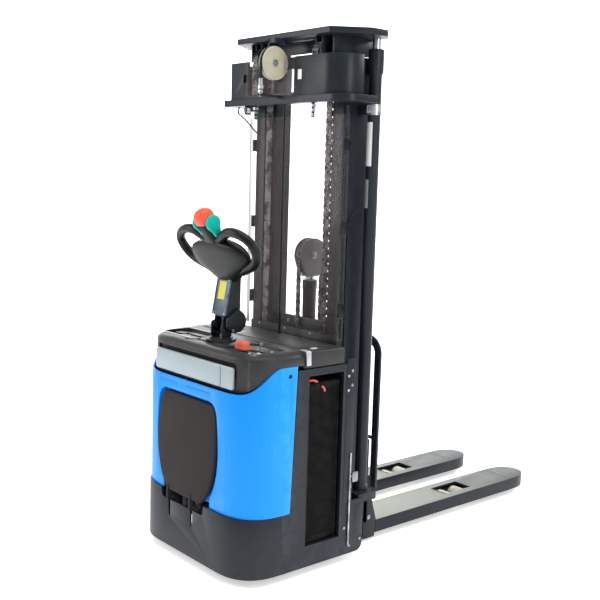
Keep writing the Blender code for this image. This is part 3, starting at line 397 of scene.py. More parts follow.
def roundedRect(low, high, radius, count=6):
    (x0, y0), (x1, y1) = (low[0] + radius, low[1] + radius), (high[0] - radius, high[1] - radius)
    corners = ((x1, y1), (x0, y1), (x0, y0), (x1, y0))
    return [point for turn, corner in enumerate(corners)
            for point in arcPoints(corner, radius, 90 * turn, 90 * turn + 90, count)]


def ring(outer, inner):
    return outer + list(reversed(inner))


def mirrored(line):
    return line + [(-x, v) for x, v in reversed(line)]


def lathe(name, profile, centre, axis="z", steps=48, closed=False):
    verts, rows = [], []
    for radius, height in profile:
        row = []
        for step in range(1 if radius < 1e-6 else steps):
            angle = 2 * math.pi * step / steps
            row.append(len(verts))
            verts.append((radius * math.cos(angle), radius * math.sin(angle), height))
        rows.append(row)
    faces = []
    pairs = list(zip(rows, rows[1:])) + ([(rows[-1], rows[0])] if closed else [])
    for first, second in pairs:
        for step in range(steps):
            after = (step + 1) % steps
            if len(first) == 1 and len(second) == 1:
                continue
            if len(first) == 1:
                faces.append((first[0], second[step], second[after]))
            elif len(second) == 1:
                faces.append((first[step], second[0], first[after]))
            else:
                faces.append((first[step], second[step], second[after], first[after]))
    turn = {"z": Matrix.Identity(4), "x": Matrix.Rotation(math.pi / 2, 4, "Y"),
            "y": Matrix.Rotation(-math.pi / 2, 4, "X")}[axis]
    obj = outward(meshObject(name, verts, faces))
    obj.data.transform(Matrix.Translation(centre) @ turn)
    return obj


def cylinder(name, radius, first, second, centre, axis="z", steps=48):
    return lathe(name, [(0, first), (radius, first), (radius, second), (0, second)], centre,
                 axis, steps)


def bothWays(half):
    # a profile that is the same above and below its middle
    return half + [(radius, -height) for radius, height in reversed(half) if height]


def smoothPath(points, count=6, cyclic=False):
    # a Catmull-Rom line through the points
    places = [Vector(p) for p in points]
    total = len(places)
    line = []
    spans = total if cyclic else total - 1
    for i in range(spans):
        if cyclic:
            p0, p1, p2, p3 = (places[(i + k) % total] for k in (-1, 0, 1, 2))
        else:
            p0, p1 = places[max(i - 1, 0)], places[i]
            p2, p3 = places[i + 1], places[min(i + 2, total - 1)]
        for step in range(count):
            t = step / count
            line.append(0.5 * ((2 * p1) + (p2 - p0) * t + (2 * p0 - 5 * p1 + 4 * p2 - p3) * t * t
                               + (3 * p1 - p0 - 3 * p2 + p3) * t ** 3))
    if not cyclic:
        line.append(places[-1])
    return line


def tube(name, points, radius, resolution=4, cyclic=False, radii=None):
    curve = bpy.data.curves.new(name, "CURVE")
    curve.dimensions = "3D"
    curve.bevel_depth = radius
    curve.bevel_resolution = resolution
    curve.use_fill_caps = True
    spline = curve.splines.new("POLY")
    spline.points.add(len(points) - 1)
    for index, (point, place) in enumerate(zip(spline.points, points)):
        point.co = (*place, 1.0)
        if radii:
            point.radius = radii[index]
    spline.use_cyclic_u = cyclic
    guide = placed(name, curve)
    mesh = bpy.data.meshes.new_from_object(
        guide.evaluated_get(bpy.context.evaluated_depsgraph_get()))
    bpy.data.objects.remove(guide, do_unlink=True)
    return outward(placed(name, mesh))


def settle(obj, body, surface, replaced=(), angle=32.0, ride=True):
    # moves a piece from the heel frame into the row frame and gives it to its body
    obj.data.transform(Matrix.Translation((0.0, heelY, 0.0)))
    obj.data.materials.clear()
    obj.data.materials.append(finishes[surface])
    obj.data.shade_smooth()
    obj.data.set_sharp_from_angle(angle=math.radians(angle))
    if ride:
        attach(obj, body)
    if replaced:
        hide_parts(*replaced)
    return obj


def wrap(half, rear, front, flat=0.19, power=2.6, count=40):
    # the plan line of a cover, from the right front edge round the back to the left
    points = [(half, front)]
    depth = min(0.186, front - rear - 0.001)
    for step in range(count + 1):
        angle = math.pi / 2 * step / count
        points.append((half - flat + flat * math.cos(angle) ** (2 / power),
                       rear + depth - depth * math.sin(angle) ** (2 / power)))
    return mirrored(points)


# repeating parts, made with Geometry Nodes
def newTree(name, inputs):
    tree = bpy.data.node_groups.new(name, "GeometryNodeTree")
    tree.interface.new_socket("Geometry", in_out="INPUT", socket_type="NodeSocketGeometry")
    for label, kind, value in inputs:
        socket = tree.interface.new_socket(label, in_out="INPUT", socket_type=kind)
        if value is not None:
            socket.default_value = value
    tree.interface.new_socket("Geometry", in_out="OUTPUT", socket_type="NodeSocketGeometry")
    return tree, tree.nodes.new("NodeGroupInput"), tree.nodes.new("NodeGroupOutput")


def endTree(tree, geometry, source, sink):
    # real geometry with its material, because the export drops instances
    real = tree.nodes.new("GeometryNodeRealizeInstances")
    paint = tree.nodes.new("GeometryNodeSetMaterial")
    tree.links.new(geometry, real.inputs["Geometry"])
    tree.links.new(real.outputs["Geometry"], paint.inputs["Geometry"])
    tree.links.new(source.outputs["Surface"], paint.inputs["Material"])
    tree.links.new(paint.outputs["Geometry"], sink.inputs["Geometry"])
    return tree


def buildBoltTree():
    # a hexagon head on a washer at every point, standing along the point's direction
    number = "NodeSocketFloat"
    tree, source, sink = newTree("boltSet", [
        ("HeadRadius", number, 0.008), ("HeadHeight", number, 0.006),
        ("WasherRadius", number, 0.011), ("Surface", "NodeSocketMaterial", None)])
    link, make = tree.links.new, tree.nodes.new
    shapes = make("GeometryNodeJoinGeometry")
    for radius, height, sidesCount, lift in (("HeadRadius", "HeadHeight", 6, 0.5),
                                             ("WasherRadius", None, 16, 0.0)):
        bar = make("GeometryNodeMeshCylinder")
        bar.inputs["Vertices"].default_value = sidesCount
        link(source.outputs[radius], bar.inputs["Radius"])
        moved = make("GeometryNodeTransform")
        if height:
            link(source.outputs[height], bar.inputs["Depth"])
            half = mathNode(tree, "MULTIPLY", source.outputs[height], lift)
            offset = make("ShaderNodeCombineXYZ")
            link(half, offset.inputs["Z"])
            link(offset.outputs[0], moved.inputs["Translation"])
        else:
            bar.inputs["Depth"].default_value = 0.003
        link(bar.outputs["Mesh"], moved.inputs["Geometry"])
        link(moved.outputs["Geometry"], shapes.inputs["Geometry"])
    points = make("GeometryNodeMeshToPoints")
    link(source.outputs["Geometry"], points.inputs["Mesh"])
    named = make("GeometryNodeInputNamedAttribute")
    named.data_type = "FLOAT_VECTOR"
    named.inputs["Name"].default_value = "direction"
    turn = make("FunctionNodeAlignRotationToVector")
    turn.axis = "Z"
    link(named.outputs["Attribute"], turn.inputs["Vector"])
    place = make("GeometryNodeInstanceOnPoints")
    link(points.outputs["Points"], place.inputs["Points"])
    link(shapes.outputs["Geometry"], place.inputs["Instance"])
    link(turn.outputs["Rotation"], place.inputs["Rotation"])
    return endTree(tree, place.outputs["Instances"], source, sink)


def buildChainTree():
    # leaf-chain plates along a line: outer pairs and inner plates by turns
    number = "NodeSocketFloat"
    tree, source, sink = newTree("leafChain", [
        ("Pitch", number, 0.0159), ("Width", number, 0.020), ("PlateHeight", number, 0.0085),
        ("Surface", "NodeSocketMaterial", None)])
    link, make = tree.links.new, tree.nodes.new
    curve = make("GeometryNodeMeshToCurve")
    link(source.outputs["Geometry"], curve.inputs["Mesh"])
    spaced = make("GeometryNodeResampleCurve")
    spaced.mode = "LENGTH"
    link(curve.outputs["Curve"], spaced.inputs["Curve"])
    link(source.outputs["Pitch"], spaced.inputs["Length"])
    points = make("GeometryNodeCurveToPoints")
    points.mode = "EVALUATED"
    link(spaced.outputs["Curve"], points.inputs["Curve"])
    index = make("GeometryNodeInputIndex")
    odd = mathNode(tree, "MODULO", index.outputs[0], 2.0)
    even = mathNode(tree, "SUBTRACT", 1.0, odd)
    long = mathNode(tree, "MULTIPLY", source.outputs["Pitch"], 1.55)
    whole = make("GeometryNodeJoinGeometry")
    for shares, chosen in (((-0.46, -0.16, 0.16, 0.46), even), ((-0.31, 0.0, 0.31), odd)):
        bundle = make("GeometryNodeJoinGeometry")
        for share in shares:
            size = make("ShaderNodeCombineXYZ")
            link(mathNode(tree, "MULTIPLY", source.outputs["Width"], 0.13), size.inputs["X"])
            link(source.outputs["PlateHeight"], size.inputs["Y"])
            link(long, size.inputs["Z"])
            cube = make("GeometryNodeMeshCube")
            link(size.outputs[0], cube.inputs["Size"])
            offset = make("ShaderNodeCombineXYZ")
            link(mathNode(tree, "MULTIPLY", source.outputs["Width"], share),
                 offset.inputs["X"])
            moved = make("GeometryNodeTransform")
            link(cube.outputs["Mesh"], moved.inputs["Geometry"])
            link(offset.outputs[0], moved.inputs["Translation"])
            link(moved.outputs["Geometry"], bundle.inputs["Geometry"])
        place = make("GeometryNodeInstanceOnPoints")
        link(points.outputs["Points"], place.inputs["Points"])
        link(bundle.outputs["Geometry"], place.inputs["Instance"])
        link(points.outputs["Rotation"], place.inputs["Rotation"])
        link(mathNode(tree, "GREATER_THAN", chosen, 0.5), place.inputs["Selection"])
        link(place.outputs["Instances"], whole.inputs["Geometry"])
    return endTree(tree, whole.outputs["Geometry"], source, sink)


def buildRowTree():
    # a row of small bars, for ribs and vents
    number = "NodeSocketFloat"
    tree, source, sink = newTree("barRow", [
        ("Count", "NodeSocketInt", 6), ("Step", "NodeSocketVector", (0.01, 0, 0)),
        ("BarSize", "NodeSocketVector", (0.004, 0.02, 0.004)),
        ("Start", "NodeSocketVector", (0, 0, 0)), ("Surface", "NodeSocketMaterial", None)])
    link, make = tree.links.new, tree.nodes.new
    line = make("GeometryNodeMeshLine")
    link(source.outputs["Count"], line.inputs["Count"])
    link(source.outputs["Start"], line.inputs["Start Location"])
    link(source.outputs["Step"], line.inputs["Offset"])
    bar = make("GeometryNodeMeshCube")
    link(source.outputs["BarSize"], bar.inputs["Size"])
    place = make("GeometryNodeInstanceOnPoints")
    link(line.outputs["Mesh"], place.inputs["Points"])
    link(bar.outputs["Mesh"], place.inputs["Instance"])
    return endTree(tree, place.outputs["Instances"], source, sink)


boltTree, chainTree, rowTree = buildBoltTree(), buildChainTree(), buildRowTree()


def grow(obj, tree, **values):
    # runs a tree on a piece and keeps the plain mesh
    step = obj.modifiers.new("grow", "NODES")
    step.node_group = tree
    for item in tree.interface.items_tree:
        if item.in_out == "INPUT" and item.name in values:
            step[item.identifier] = values[item.name]
    return freeze(obj)


def bolts(name, places, body, head=0.008, height=0.006, washer=0.0115,
          surface="zincSteel"):
    # places are (point, direction) pairs
    obj = meshObject(name, [p for p, _ in places], [])
    field = obj.data.attributes.new("direction", "FLOAT_VECTOR", "POINT")
    for index, (_, way) in enumerate(places):
        field.data[index].vector = way
    grow(obj, boltTree, HeadRadius=head, HeadHeight=height, WasherRadius=washer,
         Surface=finishes[surface])
    return settle(obj, body, surface, angle=30)


def chainStrand(name, points, width):
    obj = meshObject(name, points, edges=[(i, i + 1) for i in range(len(points) - 1)])
    return grow(obj, chainTree, Width=width, Surface=finishes["chainSteel"])


def barRow(name, body, count, start, step, size, surface):
    obj = meshObject(name, [(0, 0, 0)], [])
    grow(obj, rowTree, Count=count, Start=start, Step=step, BarSize=size,
         Surface=finishes[surface])
    return settle(obj, body, surface)


# rear skirt
skirt = {"half": 0.391, "rear": -0.826, "front": -0.637, "wall": 0.008, "low": 0.032,
         "high": 0.277, "dip": 0.237, "dipFrom": -0.19, "dipTo": 0.12,
         "armX": (-0.128, 0.035), "slotWide": 0.007, "slotLow": 0.165}


def makeSkirt():
    s = skirt
    outer = wrap(s["half"], s["rear"], s["front"])
    inner = wrap(s["half"] - s["wall"], s["rear"] + s["wall"], s["front"])
    wall = slab("rearSkirt", ring(outer, inner), "z", s["low"], s["high"])
    dip = slab("dip", [(s["dipFrom"] - 0.012, 0.4), (s["dipFrom"] + 0.006, s["dip"] + 0.006),
                       (s["dipFrom"] + 0.014, s["dip"]), (s["dipTo"] - 0.014, s["dip"]),
                       (s["dipTo"] - 0.006, s["dip"] + 0.006), (s["dipTo"] + 0.012, 0.4)],
               "y", -0.9, -0.7)
    cuts = [dip]
    for x in s["armX"]:
        outline = [(x - s["slotWide"], 0.3), (x - s["slotWide"], s["slotLow"] + 0.02),
                   (x - 0.002, s["slotLow"]), (x + 0.002, s["slotLow"]),
                   (x + s["slotWide"], s["slotLow"] + 0.02), (x + s["slotWide"], 0.3)]
        cuts.append(slab("slit", outline, "y", -0.9, -0.7))
    carve(wall, *cuts)
    rounded(wall, 0.0012, 2)
    settle(wall, "frame", "anthracitePaint", ["rear_skirt"])


makeSkirt()

# blue hood and dark top
hood = {"half": 0.391, "rear": -0.818, "wall": 0.006, "low": 0.2773, "sideHigh": 0.870,
        "rearHigh": 0.768, "sweepFrom": -0.655, "sweepTo": -0.802}
board = {"pivotX": -0.018, "pivotY": -0.815, "pivotZ": 0.252, "thick": 0.026,
         "lean": math.radians(3.0), "depth": -0.009,
         "half": [(0.108, 0.030), (0.128, 0.040), (0.166, 0.088), (0.192, 0.150),
                  (0.206, 0.225), (0.206, 0.310), (0.197, 0.395), (0.187, 0.428),
                  (0.170, 0.444), (0.148, 0.448)]}


def boardOutline(grow=0.0):
    # the platform's outline as (x, height above its hinge)
    line = smoothPath([(x, 0, v) for x, v in board["half"]], 5)
    points = [(p.x, p.z) for p in line]
    points = mirrored(points)
    if not grow:
        return points
    middle = Vector((0.0, 0.24))
    grown = []
    for i, (x, v) in enumerate(points):
        before, after = Vector(points[i - 1]), Vector(points[(i + 1) % len(points)])
        along = (after - before).normalized()
        away = Vector((along.y, -along.x))
        if away.dot(Vector((x, v)) - middle) < 0:
            away = -away
        grown.append((x + away.x * grow, v + away.y * grow))
    return grown


def sweepLine(lift):
    # side view (y, z) of everything below the line between blue and dark
    h = hood
    line = [(-0.95, 0.0), (-0.3, 0.0), (-0.3, h["sideHigh"] + 0.002 + lift)]
    for step in range(25):
        share = step / 24
        ease = share * share * (3 - 2 * share)
        line.append((h["sweepFrom"] + (h["sweepTo"] - h["sweepFrom"]) * share,
                     h["sideHigh"] + (h["rearHigh"] - h["sideHigh"]) * ease + lift))
    return line + [(-0.95, h["rearHigh"] + lift)]


def makeHood():
    h = hood
    outer = wrap(h["half"], h["rear"], -0.56)
    inner = wrap(h["half"] - h["wall"], h["rear"] + h["wall"], -0.56)
    wall = slab("blueHood", ring(outer, inner), "z", h["low"], 0.90)
    under = slab("under", sweepLine(0.0), "x", -0.5, 0.5)
    combine(wall, [under], "INTERSECT")
    shifted = [(board["pivotX"] + x, board["pivotZ"] + v) for x, v in boardOutline(0.030)]
    liner = slab("liner", [(x, max(z, h["low"] + 0.004)) for x, z in shifted], "y", -0.8165,
                 -0.779)
    fuse(wall, liner)
    hole = [(board["pivotX"] + x, board["pivotZ"] + v) for x, v in boardOutline(0.014)]
    hole = [(x, z if z > 0.31 else z - 0.10) for x, z in hole]
    carve(wall, slab("recess", hole, "y", -0.95, -0.787))
    edge = slab("frontCut", [(-0.572, 0.95), (-0.6003, 0.2), (-0.4, 0.2), (-0.4, 0.95)],
                "x", -0.5, 0.5)
    carve(wall, edge)
    grooves = []
    for x0, x1, z in ((-0.215, -0.085, 0.7475), (-0.020, 0.150, 0.7475)):
        grooves.append(slab("groove", roundedRect((x0, z - 0.0025), (x1, z + 0.0025), 0.002),
                            "y", -0.83, -0.8165))
    lock = cylinder("lock", 0.0085, 0.02, -0.004, (0.391, -0.612, 0.834), "x", 24)
    carve(wall, lock, *grooves)
    rounded(wall, 0.0022, 3, 40)
    settle(wall, "frame", "blueMoulding", ["drive_cover"], angle=30)
    barrel = lathe("hoodLock", [(0, 0.0), (0.0045, 0.0), (0.006, -0.001), (0.0082, -0.001),
                                (0.0082, -0.004), (0, -0.004)],
                   (0.3905, -0.612, 0.834), "x", 24)
    settle(barrel, "frame", "blackPartsAndPaintedShade")


makeHood()

top = {"half": 0.391, "rear": -0.796, "front": -0.5455, "high": 0.925, "round": 0.042,
       "low": 0.74, "trough": (0.8705, 0.886)}


def makeTop():
    t = top
    steps = 10
    rings = [(0.0, t["low"]), (0.0, t["high"] - t["round"] * 0.72)]
    for step in range(1, steps + 1):
        angle = math.pi / 2 * step / steps
        rings.append((t["round"] * (1 - math.cos(angle)),
                      t["high"] - t["round"] * 0.72 * (1 - math.sin(angle))))
    verts, faces = [], []
    for inset, z in rings:
        verts += [(x, y, z) for x, y in wrap(t["half"] - inset, t["rear"] + inset, t["front"])]
    count = len(verts) // len(rings)
    for row in range(len(rings) - 1):
        for i in range(count):
            j = (i + 1) % count
            faces.append((row * count + i, row * count + j, (row + 1) * count + j,
                          (row + 1) * count + i))
    faces.append(tuple(range(count)))
    last = (len(rings) - 1) * count
    faces.append(tuple(last + i for i in reversed(range(count))))
    body = outward(meshObject("topCover", verts, faces))
    cuts = [slab("belowTop", sweepLine(0.0006), "x", -0.5, 0.5),
            box("stepCut", (-0.5, -0.60, 0.5), (0.5, -0.5, 0.8705)),
            cylinder("well", 0.058, 0.3, -0.3, (0, -0.665, 0.9), "z", 48),
            slab("trough", roundedRect((-0.276, t["trough"][0] - 0.05),
                                       (0.276, t["trough"][1]), 0.006), "y", -0.9, -0.778)]
    # left tray, the shallow field before the tiller, the console field
    cuts.append(slab("leftTray", roundedRect((-0.325, -0.742), (-0.085, -0.600), 0.03), "z",
                     0.911, 1.0))
    cuts.append(slab("middleField", roundedRect((-0.118, -0.770), (0.120, -0.722), 0.012),
                     "z", 0.9215, 1.0))
    cuts.append(slab("consoleField", roundedRect((0.135, -0.752), (0.330, -0.590), 0.02),
                     "z", 0.9175, 1.0))
    carve(body, *cuts)
    rounded(body, 0.002, 2, 45)
    settle(body, "frame", "darkMoulding", ["top_cover"], angle=30)


makeTop()


def makeDeckDetails():
    pads = [box("pad", (-0.305, -0.690, 0.9105), (-0.245, -0.655, 0.9185), 0.003),
            box("pad", (-0.225, -0.722, 0.9105), (-0.110, -0.690, 0.9200), 0.003),
            box("pad", (-0.225, -0.668, 0.9105), (-0.110, -0.640, 0.9200), 0.003)]
    settle(gather(*pads), "frame", "gripMoulding")
    rim = roundedRect((-0.330, -0.747), (-0.080, -0.595), 0.035, 8)
    inside = roundedRect((-0.324, -0.741), (-0.086, -0.601), 0.029, 8)
    settle(slab("trayRim", ring(rim, inside), "z", 0.9245, 0.9268, 0.0008, 2),
           "frame", "silverTrimAndPaintedSheen")
    collar = lathe("wellRing", [(0.0515, 0.934), (0.060, 0.934), (0.064, 0.929),
                                (0.064, 0.9235), (0.0515, 0.9235)], (0, -0.665, 0), "z", 48,
                   closed=True)
    settle(collar, "frame", "gripMoulding")
    disc = lathe("wellDisc", [(0.0305, 0.9255), (0.0305, 0.921), (0.0512, 0.921),
                              (0.0512, 0.9255)], (0, -0.665, 0), "z", 48, closed=True)
    settle(disc, "frame", "silverTrimAndPaintedSheen")
    dials = []
    for x, y, r in ((0.300, -0.702, 0.010), (0.278, -0.728, 0.006), (0.308, -0.640, 0.007)):
        dials.append(lathe("dial", [(0, 0.9225), (r * 0.7, 0.9225), (r, 0.920), (r, 0.917),
                                    (0, 0.917)], (x, y, 0), "z", 24))
    settle(gather(*dials), "frame", "silverTrimAndPaintedSheen")
    screen = box("dialPlate", (0.225, -0.690, 0.9172), (0.285, -0.668, 0.9195), 0.0008)
    settle(screen, "frame", "blackPartsAndPaintedShade")


makeDeckDetails()

# rear panel
panel = {"half": 0.273, "low": 0.780, "high": 0.8685, "y": (-0.806, -0.7945),
         "raised": (-0.270, 0.196), "proud": 0.0035}


def makePanel():
    p = panel
    rear, front = p["y"]
    plain = roundedRect((-p["half"], p["low"]), (p["half"], p["high"]), 0.010, 8)
    field = roundedRect((p["raised"][0], p["low"] + 0.002),
                        (p["raised"][1], p["high"] - 0.002), 0.014, 8)
    base = slab("rearPanel", plain, "y", rear, front, 0.003)
    lid = slab("raisedField", field, "y", rear - p["proud"], rear + 0.002, 0.0025)
    settle(gather(base, lid), "frame", "silverMoulding", ["rear_panel"])


makePanel()


# platform
def makePlatform():
    b = board
    turn = (Matrix.Translation((b["pivotX"], b["pivotY"], b["pivotZ"]))
            @ Matrix.Rotation(-b["lean"], 4, "X") @ Matrix.Translation((0, b["depth"], 0)))
    plate = slab("platformBoard", boardOutline(), "y", -b["thick"] / 2, b["thick"] / 2,
                 0.008, 5)
    mat = slab("standMat", boardOutline(-0.022), "y", b["thick"] / 2 - 0.001,
               b["thick"] / 2 + 0.0022, 0.001, 2)
    for obj in (plate, mat):
        obj.data.transform(turn)
    settle(plate, "platform", "platformMoulding", ["platform"], angle=40)
    settle(mat, "platform", "wheelRubber")
    ribs = meshObject("matRibs", [(0, 0, 0)], [])
    grow(ribs, rowTree, Count=15, Start=(0.0, 0.0158, 0.09), Step=(0.0, 0.0, 0.022),
         BarSize=(0.26, 0.0022, 0.006), Surface=finishes["wheelRubber"])
    ribs.data.transform(turn)
    settle(ribs, "platform", "wheelRubber")
    arms = []
    for x in skirt["armX"]:
        outline = [(-0.839, 0.245), (-0.812, 0.238), (-0.806, 0.250), (-0.812, 0.300),
                   (-0.838, 0.305)]
        arms.append(slab("arm", outline, "x", x - 0.006, x + 0.006, 0.0015))
        arms.append(cylinder("knuckle", 0.0085, 0.014, -0.014, (x, -0.815, 0.252), "x", 24))
    settle(gather(*arms), "platform", "platformMoulding")


makePlatform()
print("cover, panel and platform made")

# tiller
tiller = {"y": -0.665, "top": 1.192, "lean": math.radians(29.0),
          "loopRadius": 0.0185, "half": 0.046}


def onHead(along, out=0.0):
    y = tiller["y"] + 0.040 - along * math.sin(tiller["lean"]) - out * math.cos(tiller["lean"])
    z = tiller["top"] + along * math.cos(tiller["lean"]) - out * math.sin(tiller["lean"])
    return y, z


def headTurn():
    y, z = onHead(0.0)
    return Matrix.Translation((0.0, y, z)) @ Matrix.Rotation(tiller["lean"], 4, "X")


def loft(name, sections, count=40, power=2.4):
    # sections are (height, half width, half depth, depth offset), stacked along z
    verts, faces = [], []
    for height, wide, deep, offset in sections:
        for step in range(count):
            angle = 2 * math.pi * step / count
            c, s = math.cos(angle), math.sin(angle)
            verts.append((math.copysign(abs(c) ** (2 / power), c) * wide,
                          math.copysign(abs(s) ** (2 / power), s) * deep + offset, height))
    for row in range(len(sections) - 1):
        for i in range(count):
            j = (i + 1) % count
            faces.append((row * count + i, row * count + j, (row + 1) * count + j,
                          (row + 1) * count + i))
    faces.append(tuple(range(count)))
    faces.append(tuple(len(verts) - count + i for i in reversed(range(count))))
    return outward(meshObject(name, verts, faces))


def makeHead():
    # (along, half width, half depth, offset of the middle)
    shape = [(-0.022, 0.046, 0.026, 0.004), (-0.014, 0.056, 0.032, 0.002),
             (0.004, 0.078, 0.036, 0), (0.024, 0.106, 0.038, 0), (0.044, 0.140, 0.038, 0),
             (0.060, 0.164, 0.037, 0), (0.078, 0.180, 0.036, 0), (0.096, 0.187, 0.035, 0),
             (0.114, 0.185, 0.034, 0), (0.130, 0.176, 0.033, 0), (0.144, 0.160, 0.032, 0),
             (0.155, 0.136, 0.030, 0), (0.163, 0.106, 0.028, 0), (0.168, 0.076, 0.026, 0),
             (0.172, 0.056, 0.0255, 0), (0.178, 0.045, 0.026, 0), (0.190, 0.037, 0.028, 0),
             (0.215, 0.034, 0.029, 0), (0.240, 0.032, 0.028, 0), (0.2445, 0.028, 0.024, 0)]
    head = loft("tillerHead", shape, 64, 2.9)
    head.data.transform(headTurn())
    settle(head, "tiller", "gripMoulding", ["tiller_head"], angle=60)
    route = [(0.012, 0.170), (0.050, 0.178), (0.085, 0.197), (0.120, 0.212), (0.160, 0.214),
             (0.202, 0.203), (0.237, 0.180), (0.253, 0.150), (0.247, 0.117), (0.228, 0.089),
             (0.194, 0.066), (0.150, 0.050), (0.110, 0.034)]
    thick = [1.10, 1.12, 1.14, 1.12, 1.08, 1.04, 1.02, 1.02, 1.04, 1.08, 1.16, 1.25, 1.20]
    for side, sign in sides:
        line = smoothPath([(sign * u, 0.0, v) for u, v in route], 6)
        last = len(thick) - 1
        radii = [thick[min(i // 6, last)] * (1 - (i % 6) / 6)
                 + thick[min(i // 6 + 1, last)] * (i % 6) / 6 for i in range(len(line))]
        loop = tube("handleLoop" + side.capitalize(), line, tiller["loopRadius"], 6,
                    radii=radii)
        loop.data.transform(headTurn())
        settle(loop, "tiller", "gripMoulding", ["handle_loop_" + side], angle=60)


def makeHeadControls():
    dome = loft("reverseButton", [(0.0, 0.0310, 0.0310, 0), (0.004, 0.0360, 0.0360, 0),
                                  (0.014, 0.0385, 0.0385, 0), (0.030, 0.0380, 0.0380, 0),
                                  (0.042, 0.0350, 0.0355, 0), (0.052, 0.0285, 0.0295, 0),
                                  (0.058, 0.0215, 0.0220, 0), (0.0615, 0.0130, 0.0130, 0),
                                  (0.0630, 0.0050, 0.0050, 0)], 56, 3.2)
    turn = headTurn()
    dome.data.transform(turn @ Matrix.Translation((0, 0, 0.2496)))
    settle(dome, "reverse_button", "redMoulding", ["reverse_button"], angle=60)
    teardrop = ([(-0.0160, 0.200), (-0.0185, 0.212), (-0.0250, 0.228)]
                + arcPoints((0.0, 0.2505), 0.0340, 205, -25, 28)
                + [(0.0250, 0.228), (0.0185, 0.212), (0.0160, 0.200)]
                + arcPoints((0.0, 0.2005), 0.0155, -15, -165, 8))
    wings = []
    for side, sign in sides:
        wings.append(slab("wing", teardrop, "x", sign * 0.0395, sign * 0.0555, 0.005, 4))
    wings.append(cylinder("shaft", 0.006, 0.042, -0.042, (0, 0, 0.225), "x", 24))
    wings = gather(*wings)
    wings.data.transform(turn)
    settle(wings, "butterfly", "tealMoulding", ["butterfly"], angle=50)
    rocker = slab("liftRocker", roundedRect((-0.022, -0.012), (0.022, 0.012), 0.005), "y",
                  -0.0045, 0.0045, 0.0015)
    rocker.data.transform(turn @ Matrix.Translation((0, 0.0385, 0.105)))
    settle(rocker, "lift_rocker", "darkMoulding", ["lift_rocker"])


def makeArm():
    half, low, high = tiller["half"], 0.952, tiller["top"]
    outline = [(-0.684, 0.962), (-0.676, low), (-0.648, low), (-0.632, 1.000),
               (-0.602, 1.048), (-0.600, high + 0.004), (-0.646, high - 0.020),
               (-0.684, 0.985)]
    bar = slab("tillerArm", outline, "x", -half, half)
    cuts = [box("step", (s * 0.032, -0.75, 0.9),
                (s * 0.07, -0.5, 1.028)) for s in (-1, 1)]
    carve(bar, *cuts, box("gasSpringRoom", (-0.026, -0.72, 0.966), (0.022, -0.640, 1.024)))
    rounded(bar, 0.0025, 3, 30)
    settle(bar, "tiller", "anthracitePaint", ["tiller_arm"])
    lean = Matrix.Translation((0.0, -0.6835, 0.985)) @ Matrix.Rotation(
        -math.atan2(0.0365, 0.198), 4, "X")
    front = slab("armPlate", roundedRect((-half + 0.001, 0.046), (half - 0.001, 0.202), 0.004),
                 "y", -0.0055, 0.0015, 0.0012, 2)
    lip = [slab("armLip", [(sx * (half - 0.001), 0.046), (sx * (half - 0.001), 0.202),
                           (sx * (half - 0.005), 0.202), (sx * (half - 0.005), 0.046)], "y",
                -0.0085, -0.004, 0.0006, 2) for sx in (-1, 1)]
    front = gather(front, *lip)
    front.data.transform(lean)
    settle(front, "tiller", "armPlateGrey")
    sticker = slab("armSticker", roundedRect((-0.024, 0.112), (0.022, 0.186), 0.002), "y",
                   -0.0064, -0.0050)
    sticker.data.transform(lean)
    settle(sticker, "tiller", "yellowSticker")
    behind = (lean.to_3x3() @ Vector((0, -1, 0))).normalized()
    corners = [(tuple(lean @ Vector((sx * 0.036, -0.0055, z))), tuple(behind))
               for sx in (-1, 1) for z in (0.053, 0.195)]
    bolts("armRivets", corners, "tiller", head=0.0026, height=0.0014, washer=0.0036)
    spring = [cylinder("rod", 0.0042, 1.020, 0.985, (0.008, -0.662, 0), "z", 16),
              lathe("ball", [(0, 0.992), (0.008, 0.989), (0.008, 0.979), (0, 0.976)],
                    (0.008, -0.662, 0), "z", 16)]
    settle(gather(*spring), "tiller", "polishedRod")
    # painted shade: a near-black sheet at the back of the gas spring room darkens the recess
    settle(box("springRoomPaintedShade", (-0.0258, -0.6420, 0.9665), (0.0218, -0.6405, 1.0235)), "tiller",
           "blackPartsAndPaintedShade")
    outline = (arcPoints((-0.628, 1.006), 0.047, -70, 66, 16)
               + [(-0.622, 1.062), (-0.676, 1.022), (-0.680, 0.985), (-0.662, 0.968),
                  (-0.640, 0.960)])
    cover = slab("armSideCover", outline, "x", 0.0470, 0.0630, 0.004, 3)
    line = slab("coverLine", [(-0.6785, 1.0230), (-0.6765, 1.0200), (-0.6060, 1.0475),
                              (-0.6075, 1.0505)], "x", 0.0625, 0.0638, 0.0004, 2)
    settle(gather(cover, line), "tiller", "anthracitePaint", ["arm_side_cover"])
    bolts("armBolts", [((0.0630, -0.596, 0.975), (1, 0, 0)),
                       ((0.0630, -0.650, 0.972), (1, 0, 0))],
          "tiller", head=0.0035, height=0.003, washer=0.005)
    yoke = []
    for side, sign in sides:
        yoke.append(slab("cheek", roundedRect((-0.690, 0.936), (-0.640, 1.006), 0.014), "x",
                         sign * 0.0328, sign * 0.0408, 0.002))
    return yoke


def makeColumn():
    yoke = makeArm()
    column = lathe("column", [(0, 0.9395), (0.047, 0.9395), (0.050, 0.9365), (0.050, 0.930),
                              (0.046, 0.927), (0.033, 0.925), (0.030, 0.915), (0.030, 0.5703),
                              (0, 0.5703)], (0, tiller["y"], 0), "z", 56)
    settle(gather(column, *yoke), "steering", "anthracitePaint", ["steering_column"])


makeHead()
makeHeadControls()
makeColumn()


# connector and key
connector = {"x": 0.215, "y": -0.712, "z": 0.925, "half": (0.028, 0.021), "high": 0.030}


